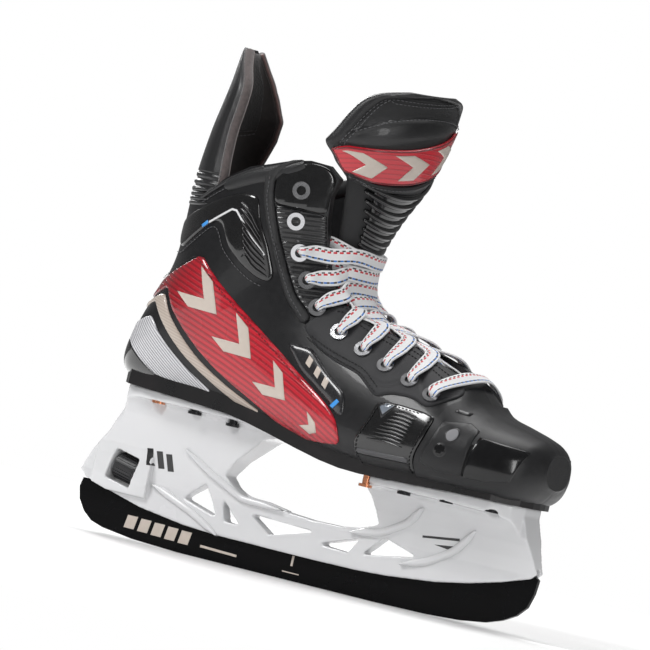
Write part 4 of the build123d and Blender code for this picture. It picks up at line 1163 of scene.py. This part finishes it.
def strand(ride):
    """Control points, flat normals and width shares of half of the lace.

    It starts on the right and runs from the toe up; ride is its height over the tongue.
    """
    last = len(LACED) - 1
    rows = []

    def add(sign, p, n, k=1.0):
        p, n = np.array(p, float), np.array(n, float)
        if sign < 0:
            p, n = p * (1, -1, 1), n * (1, -1, 1)
        rows.append((p, n, k))

    def boot(sign, xz, out, k=1.0):
        p, n = on_boot(xz[0], xz[1], out)
        add(sign, p, n, k)

    def cross(z, wide):
        """Over the tongue to the other side; wide adds a point near each edge of the tongue."""
        for w in (-EDGE_W * sign, 0, EDGE_W * sign) if wide else (0,):
            add(1, *tongue_at(z, w, ride + (EDGE_LIFT if w else 0)))

    sign = 1
    p, n = (np.array(v) for v in LACED[last])
    add(1, (88.0, 0, 139.6), (0.35, 0, 0.94))
    boot(1, (84.5, 134.8), 3.2)
    add(1, p + n * 3.4 + (1.6, 0, 1.2), n, 0.8)
    add(1, p - n * 1.0, (0.5, 0.0, 0.85), 0.42)
    add(1, p - n * 6.0 + (-1.0, 0.8, 1.0), n, 0.7)
    boot(1, mixed(EDGES[last], EDGES[last - 1], 0.3), -4.6)
    for k in range(last - 1, -1, -1):
        cross(CROSS_Z[k], k < 4)
        sign = -sign
        p, n = (np.array(v) for v in LACED[k])
        below = EDGES[k + 1]
        above = EDGES[k - 1] if k else (-15.0, 194.0)
        boot(sign, mixed(EDGES[k], below, 0.25), -4.8)
        add(sign, p - n * 6.2 + (1.2, 0.8, 0), n, 0.75)
        add(sign, p - n * 1.0, (0.6, 0.0, 0.8), 0.42)
        add(sign, p + n * 2.7 + (1.4, 0, 1.2), n, 0.62)
        e = EDGES[k]
        boot(sign, (p[0] + (e[0] - p[0]) * 0.5 - 0.5, p[2] + (e[1] - p[2]) * 0.5 + 2.4), 3.1)
        boot(sign, mixed(EDGES[k], above, 0.28), 3.0)
    cross(191.0, True)
    sign = -sign
    for xz, out in (((-15.6, 195.0), -4.8), ((-22.0, 190.0), -5.2), ((-25.0, 182.0), -5.4),
                    ((-24.5, 173.0), -5.4)):
        boot(sign, xz, out, 0.9)
    return rows


def lace_line(route):
    """Points, flat directions and width shares along the whole lace."""
    points, normals, shares = (np.array(column) for column in zip(*route))
    tangent = np.zeros_like(points)
    tangent[1:-1] = points[2:] - points[:-2]
    tangent[0], tangent[-1] = points[1] - points[0], points[-1] - points[-2]
    across = unit(np.cross(tangent, normals))
    for i in range(1, len(across)):
        if np.dot(across[i], across[i - 1]) < 0:
            across[i] = -across[i]
    out_p, out_a, out_k = [], [], []
    for i in range(len(points) - 1):
        span = neighbours(points, i)
        gaps = [max(0.3, math.sqrt(np.linalg.norm(b - a))) for a, b in zip(span, span[1:])]
        m1, m2 = chord_tangents(span, gaps)
        count = max(4, int(np.linalg.norm(span[2] - span[1]) / 0.9))
        for q in range(count):
            t = q / count
            e = t * t * (3 - 2 * t)
            out_p.append(cubic(t, span[1], span[2], m1, m2))
            out_a.append(across[i] * (1 - e) + across[i + 1] * e)
            out_k.append(shares[i] * (1 - e) + shares[i + 1] * e)
    return np.array(out_p), np.array(out_a), out_k


MIRROR = (1, -1, 1)
half = strand(2.6)
other = [(p * MIRROR, n * MIRROR, k) for p, n, k in strand(4.6)]
lace_p, lace_a, lace_k = lace_line(list(reversed(other)) + half[1:])
tan = unit(np.gradient(lace_p, axis=0))
lace_a -= tan * np.sum(lace_a * tan, axis=1)[:, None]
lace_a = unit(lace_a)
v, f, uv = sweep(lace_p, np.cross(lace_a, tan), 9.2, 1.5, 14, taper=lace_k, power=0.55)
lace = make("vis_lace", v, f, "lace", "boot", uvs=uv)
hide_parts("lace", "lace_tips")

# ---------------------------------------------------------------- tendon guard
TENDON = np.array([
    (-118.5, 207.5, 36, 30), (-117.2, 220, 35, 28), (-116, 232, 33, 25), (-114, 247, 31, 22), (-111.5, 261,
            29, 20),
    (-109.4, 274, 26, 17), (-108.6, 286, 18, 9), (-108.4, 297, 9, 2.5),
])


def guard_point(s, a, inset):
    """A point of the guard: s counts rows up, a is the angle round it in degrees, negative on the right."""
    i = min(int(s), len(TENDON) - 2)
    f = s - i
    p0, p1, p2, p3 = neighbours(TENDON, i)
    x, z, half_width, reach = cubic(f, p1, p2, (p2 - p0) / 2, (p3 - p1) / 2)
    t = math.radians(a)
    if a > 0:
        reach *= np.interp(z, [215, 232, 247, 258, 274, 290], [0.62, 0.58, 0.86, 0.92, 0.55, 0.5])
    return np.array([x + inset + (reach - inset * 0.4) * (1 - math.cos(t)),
                     (half_width - inset) * math.sin(t), z])


def guard_mesh(inset, thick, s0, s1, a0, bumps=0.0):
    """A bent plate over rows s0 to s1, reaching a0 degrees round each side; bumps notch its foot."""
    verts, faces = [], []
    rows = np.arange(s0, s1 + 0.001, 0.06)
    n = 64
    for s in rows:
        notch = 0.0
        if bumps and s < 1.0:
            notch = bumps * max(0.0, math.cos(2 * math.pi * s * 12.5 / 4.1))
        fade = math.sqrt(max(0.02, 1 - max(0.0, (s - s1 + 0.25) / 0.25) ** 2))
        for j in range(n):
            a = 2 * math.pi * j / n
            c, q = math.cos(a), math.sin(a)
            ang = a0 * bent(c, 0.75)
            depth = thick / 2 - thick / 2 * bent(q, 0.45) * fade
            if q > 0:
                depth += notch
                depth -= 0.5 * max(0.0, 1 - (abs(abs(ang) - a0 + 9) / 6.0) ** 2)
            verts.append(guard_point(s, ang, inset + depth))
    m = len(rows)
    for i in range(m - 1):
        for j in range(n):
            k = (j + 1) % n
            faces.append([i * n + j, (i + 1) * n + j, (i + 1) * n + k, i * n + k])
    faces.append(list(range(n)))
    faces.append([(m - 1) * n + j for j in reversed(range(n))])
    return verts, faces


v, f = guard_mesh(0.0, 2.6, 0.0, 6.95, 88, 1.2)
guard = make("vis_guard", v, f, "guard", "tendon")
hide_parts("tendon_guard")
v, f = guard_mesh(2.4, 3.4, 0.12, 6.75, 86)
lining = make("vis_guard_lining", v, f, "lining", "tendon")
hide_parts("guard_lining")
for tag, sign in SIDES:
    pts = np.array([guard_point(s, 88 * sign, 1.9) + (1.2, 0, 0) for s in np.arange(0.15, 6.8, 0.05)])
    nrm = [np.array([0.5, 0.86 * sign, 0.0])] * len(pts)
    v, f, _ = sweep(pts, nrm, 5.6, 4.6, 12)
    make("vis_guard_felt_" + tag, v, f, "felt", "tendon")
    v, f, _ = sweep(pts + (1.6, -1.6 * sign, 0), nrm, 1.7, 1.7, 8)
    make("vis_guard_piping_" + tag, v, f, "piping", "tendon")
    v, f = stitch_mesh(pts + np.array([-1.4, 2.1 * sign, 0]), nrm, GUARD_SEAM)
    make("vis_guard_stitch_" + tag, v, f, "thread", "tendon")
MESH_OUTLINE = [(-52, 32), (-20, 30), (20, 30), (52, 32), (52, 54), (30, 64), (-30, 64), (-52, 54)]
v, f = patch_mesh(MESH_OUTLINE, lambda x, y, r: guard_point(y / 10.0, x, 5.8 + r), 0.0, 0.6, 3.0)
make("vis_guard_mesh", v, f, "mesh", "tendon")
arc = [guard_point(3.15 - 0.35 * (1 - (a / 55.0) ** 2), a, 6.5) for a in np.arange(-55, 56, 1.5)]
v, f = stitch_mesh(arc, [np.array([1.0, 0, 0])] * len(arc), GUARD_ARC)
make("vis_guard_arc", v, f, "thread", "tendon")

# Notched living hinge between the collar's back edge and the guard.
hinge_parts = []
for k in range(4):
    z = 200.6 + 2.7 * k
    pts, nrm = [], []
    for a in np.arange(-80, 81, 4.0):
        t = math.radians(a)
        dip = 1 - math.cos(t)
        pts.append(np.array([-118.2 + 30 * dip + 1.6, 36 * math.sin(t), z + 1.5 * dip]))
        nrm.append(np.array([-math.cos(t), math.sin(t), 0.0]))
    taper = [min(1.0, 0.3 + 0.2 * min(j, len(pts) - 1 - j)) for j in range(len(pts))]
    hinge_parts.append(sweep(pts, nrm, 3.0, 2.8, 10, taper=taper))
hinge = make("vis_guard_hinge", *joined(hinge_parts), "guard", None)
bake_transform(hinge)

# ---------------------------------------------------------------- collar, seams and stitches
ROLL_PATH = [(-80, 214.2), (-72, 218.8), (-63, 223.4), (-53, 226.8), (-45, 229.8), (-37, 233.6),
             (-33, 236.6)]
pts, nrm = line_on_boot(ROLL_PATH, -2.6, 1.0, 2)
ends = [min(1.0, 0.35 + 0.65 * math.sin(math.pi * k / (len(pts) - 1)) ** 0.4) for k in range(len(pts))]
v, f, _ = sweep(pts, nrm, 11.0, 8.0, 16, taper=ends, power=0.8)
for (tag, _), o in zip(SIDES, both("collar_roll", v, f, "leather")):
    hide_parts("collar_pad_" + tag)


def sew(seams):
    """Stitches on both sides of the boot: rows of name, height over it, finish, thread and path."""
    for name, out, mat, thread, path in seams:
        pts, nrm = line_on_boot(path, out, 0.9)
        v, f = stitch_mesh(pts, nrm, thread)
        both(name, v, f, mat)


COLLAR_SEAM = [(-100, 203.4), (-88, 212), (-77, 219.4), (-66, 225.4), (-57, 229.4)]
COLLAR_STITCHES = [
    ("collar_stitch", 0.35, "thread", PLAIN, [
        (-99, 200.6), (-87, 208.6), (-76, 215.6), (-65, 221.6), (-58, 224.4)]),
    ("badge_stitch", 0.35, "thread", PLAIN, [
        (-112, 171), (-106, 170.6), (-84.5, 189.8), (-79.4, 189.6), (-72.6, 178.4), (-62, 170), (-52, 164),
        (-43.5, 162)]),
]
SEAM_STITCHES = [
    ("eyestay_stitch_a", 1.62, "thread_dark", BOLD, [
        (-11, 140.0), (1, 134.2), (12, 131.2), (29, 127.2), (44, 117.8)]),
    ("eyestay_stitch_b", 1.66, "thread_dark", BOLD, [
        (-8.5, 141.2), (3, 136.2), (14, 133.2), (31, 129.2), (45, 120.4)]),
    ("throat_stitch_a", 1.66, "thread_dark", BOLD, [
        (-1.5, 160.4), (4, 160.8), (13, 155.4), (30, 150.0), (48, 145.6), (66, 140.4), (78, 135.6)]),
    ("throat_stitch_b", 1.66, "thread_dark", BOLD, [
        (-0.5, 157.8), (5, 158.0), (14, 152.8), (30, 147.6), (48, 143.2), (66, 138.0), (77, 133.2)]),
    ("binding_stitch", 1.75, "thread", PLAIN, [
        (-51, 226), (-50.5, 214), (-47.4, 204), (-41.8, 189), (-35.8, 174), (-27, 159.4), (-16.8, 149.6)]),
    ("toe_seam_a", 1.25, "thread_dark", BOLD_LONG, [(77.2, 78), (76.4, 86), (80.2, 99), (83.2, 109.6)]),
    ("toe_seam_b", 1.25, "thread_dark", BOLD_LONG, [
        (43.4, 78), (40.3, 84), (40.0, 90.6), (46.8, 103.6), (48.4, 110.6), (54.4, 112.9),
        (62, 113.0), (78, 112.0)]),
    ("panel_stitch", 1.2, "thread_dark", FINE, [
        (-116, 153.6), (-104, 161.4), (-90, 171.2), (-85, 168.6), (-70, 156.2), (-58, 147.4), (-36, 132.8),
        (-10, 116.4), (4, 108.4)]),
]
piping("collar_seam", COLLAR_SEAM, 0.5, 2.4, 1.6, "leather", 2)
sew(COLLAR_STITCHES)
piping("badge_line", [(-86, 191.8), (-69.5, 203.4), (-46, 180.6)], 1.35, 1.3, 0.7, "white", 1)
sew(SEAM_STITCHES)

# ---------------------------------------------------------------- marks on the steel
STEEL_HALF = 1.5      # half the runner's thickness
RUNNER_BAR = [(-3.2, 3.8), (3.6, 3.8), (2.4, -3.8), (-4.4, -3.8)]
RUNNER_MARKS = [("mark_%d" % i,
                 rotated(RUNNER_BAR, (-112 + 9.2 * i, 10.6 - 0.3 * i), 0)) for i in range(5)] + [
    ("line", [(-64.5, 7.6), (-40, 7.0), (-40, 5.6), (-64.5, 6.2)]),
    ("dot", rotated([(-1.2, 3), (0.2, 3), (0.2, -3), (-1.2, -3)], (-3.4, 11.5), 0)),
    ("tick", [(-9, 4.8), (2, 4.8), (2, 4.2), (-9, 4.2)]),
]
for name, outline in RUNNER_MARKS:
    for tag, sign in SIDES:
        v, f = patch_mesh(outline, lambda x, z, r: np.array([x, sign * (STEEL_HALF + r), z]), 0.0, 0.12,
                          3.0, 0.2)
        make("vis_runner_" + name + "_" + tag, v, f, "mark", "steel", smooth=False)


# ---------------------------------------------------------------- holder ridges and marks
def tree_from(node):
    mesh = NODES[node].data
    return BVHTree.FromPolygons([tuple(v.co) for v in mesh.vertices],
                                [tuple(p.vertices) for p in mesh.polygons])


HOLDER_TREE = tree_from("holder")


def on_holder(x, z, out=0.0):
    """A point on the holder's right face, and its normal, in mm; None where there is a window."""
    hit, normal, _, _ = HOLDER_TREE.ray_cast(Vector((x * MM, -0.2, z * MM)), Vector((0, 1, 0)))
    if hit is None:
        return None
    n = np.array(normal)
    if n[1] > 0:
        n = -n
    return np.array(hit) / MM + n * out, n


def holder_ridge(name, path, width, thick):
    """A rounded rib along a side-view line of the holder."""
    hits = [on_holder(x, z) for x, z in densify([tuple(p) for p in soften(path, 2, False)], 1.5, False)]
    pts = np.array([hit[0] for hit in hits if hit])
    nrm = [np.array([0.0, -1.0, 0.0])] * len(pts)
    for _ in range(8):
        pts[1:-1, 1] = (pts[:-2, 1] + pts[1:-1, 1] * 2 + pts[2:, 1]) / 4
    taper = [max(0.12, min(1.0, 0.2 + 5.0 * min(k, len(pts) - 1 - k) / len(pts))) for k in range(len(pts))]
    v, f, _ = sweep(pts, nrm, width, thick, 14, taper=taper)
    both(name, v, f, "holder")


def holder_mark(name, outline):
    def place(x, z, r):
        got = on_holder(x, z, r)
        return got[0] if got else np.array([x, -8.0 - r, z])

    v, f = patch_mesh(outline, place, 0.02, 0.12, 2.0, 0.2)
    both(name, v, f, "mark_dark")


holder_ridge("ridge_a", [(-83.8, 60), (-66, 50), (-43.6, 39.5), (-14, 38.6), (14, 39.4)], 4.2, 4.4)
holder_ridge("ridge_b", [(-101.6, 35), (-74.9, 25.6), (-53.6, 15.4)], 4.4, 4.2)
holder_ridge("ridge_d", [(30, 36), (50, 40), (66, 49), (76, 60)], 5.0, 4.6)
holder_ridge("ridge_e", [(66, 25), (82, 30), (98, 40), (110, 54)], 5.0, 4.2)
HOLDER_BAR = [(-2.6, 5), (1.4, 5), (2.6, -5), (-1.4, -5)]
for i in range(3):
    holder_mark("holder_mark_%d" % i, rotated(HOLDER_BAR, (-106.0 + 6.4 * i, 50.6 - 0.4 * i), 8))
holder_mark("holder_mark_c", [(76, 44.2), (100, 47.4), (100, 45.9), (76, 42.9)])
holder_mark("holder_mark_d", [(84, 40.6), (104, 43.2), (92, 36.2), (94, 39.6)])

# Side plate of the toe cap with its two plugs, the glossy insert ahead of it, and two slots.
TOE_OUT = 2.5         # just proud of the CAD toe cap's face
TOE_PLATE = [(84.2, 87), (85.6, 94), (88.6, 101), (91.2, 110), (104.5, 111.6), (111.5, 108.4),
             (109.6, 84.6), (95, 84.0)]
TOE_INSERT = [(110.6, 84.2), (113.6, 105.6), (139.5, 103.6), (134.6, 87.0), (123, 84.4)]
mark_on_boot("toe_plate", TOE_PLATE, TOE_OUT, "toe", 0.55, 2.4)
mark_on_boot("toe_insert", TOE_INSERT, TOE_OUT, "toe_gloss", 0.3, 2.4)
for key, (x, z), tint in (("a", (99.0, 103.7), "board"), ("b", (95.0, 95.0), "toe_gloss")):
    ring = [(x + 3.9 * math.cos(a), z + 3.9 * math.sin(a)) for a in np.linspace(0, 2 * math.pi, 28, False)]
    disc = [(x + (p - x) * 0.82, z + (q - z) * 0.82) for p, q in ring]
    mark_on_boot("plug_rim_" + key, ring, TOE_OUT + 0.5, "mark_dark", 0.18, 1.4)
    mark_on_boot("plug_" + key, disc, TOE_OUT + 0.55, tint, 0.5, 1.4)
for key, half_length, centre, turn in (("a", 3.6, (97, 117.0), -8), ("b", 8, (95, 82.2), 0)):
    slot = [(-half_length, 0.8), (half_length, 0.8), (half_length, -0.8), (-half_length, -0.8)]
    mark_on_boot("toe_slot_" + key, rotated(slot, centre, turn), TOE_OUT, "mark_dark", 0.15)

# ---------------------------------------------------------------- kept CAD nodes and their finishes
KEPT = {
    "boot_shell": "shell", "outsole": "outsole", "heel_cup": "gloss", "insole_board": "board",
    "footbed": "bed", "liner": "lining", "toe_cap_plugs": "board", "eyelets_right": "steel",
    "eyelets_left": "steel", "runner": "runner", "draw_bolt": "steel", "thumbwheel": "wheel",
    "wheel_washers": "steel", "rivets_copper": "copper", "rivets_black": "black_metal",
    "holder": "holder", "toe_cap": "toe",
}
for node, mat in KEPT.items():
    paint(NODES[node], mat)
    for p in NODES[node].data.polygons:
        p.use_smooth = True
holder = NODES["holder"]
remesh = holder.modifiers.new("even", "REMESH")
remesh.mode = "VOXEL"
remesh.voxel_size = 0.0008
remesh.use_smooth_shade = True
soft = holder.modifiers.new("soft", "SMOOTH")
soft.factor = 0.5
soft.iterations = 3
for node in ("runner", "draw_bolt", "thumbwheel", "eyelets_right", "eyelets_left", "rivets_copper",
             "rivets_black", "outsole"):
    b = NODES[node].modifiers.new("edge", "BEVEL")
    b.width = 0.0009 if node.startswith("eyelets") else 0.0003
    b.segments = 3
    b.limit_method = "ANGLE"
    b.angle_limit = math.radians(40)
    b.harden_normals = False

# ---------------------------------------------------------------- floor and light
floor_mesh = bpy.data.meshes.new("floor")
ring = [(0.9 * math.cos(math.pi * k / 48), 0.9 * math.sin(math.pi * k / 48), -0.0003) for k in range(96)]
floor_mesh.from_pydata(ring, [], [tuple(range(96))])
floor = bpy.data.objects.new("floor", floor_mesh)
scene.collection.objects.link(floor)
M["floor"] = surface("floor_pale", (0.93, 0.93, 0.93), 0.8, (0.94, 0.94, 0.94), 3, bump=0.02)
paint(floor, "floor")
world = bpy.data.worlds.new("world")
scene.world = world
world.use_nodes = True
wn, wl = world.node_tree.nodes, world.node_tree.links
seen = wn["Background"]
seen.inputs["Color"].default_value = (1.0, 1.0, 1.0, 1)
seen.inputs["Strength"].default_value = 1.0
ambient = wn.new("ShaderNodeBackground")
ambient.inputs["Strength"].default_value = 0.22
path = wn.new("ShaderNodeLightPath")
either = wn.new("ShaderNodeMixShader")
wl.new(path.outputs["Is Camera Ray"], either.inputs["Fac"])
wl.new(ambient.outputs["Background"], either.inputs[1])
wl.new(seen.outputs["Background"], either.inputs[2])
wl.new(either.outputs["Shader"], wn["World Output"].inputs["Surface"])


def area_light(name, loc, aim, size, power, size_y=None):
    data = bpy.data.lights.new(name, "AREA")
    data.energy = power
    data.size = size
    if size_y:
        data.shape = "RECTANGLE"
        data.size_y = size_y
    o = bpy.data.objects.new(name, data)
    scene.collection.objects.link(o)
    o.location = loc
    o.rotation_euler = (Vector(aim) - Vector(loc)).to_track_quat("-Z", "Y").to_euler()


area_light("key", (-0.7, -1.2, 1.3), (0, 0, 0.13), 0.6, 21)
area_light("fill", (1.5, -1.0, 0.5), (0, 0, 0.13), 0.35, 7, 0.9)
area_light("top", (0.1, 0.3, 1.6), (0, 0, 0.13), 0.9, 15)
area_light("rim", (-1.1, 0.9, 0.8), (0, 0, 0.15), 0.5, 12)
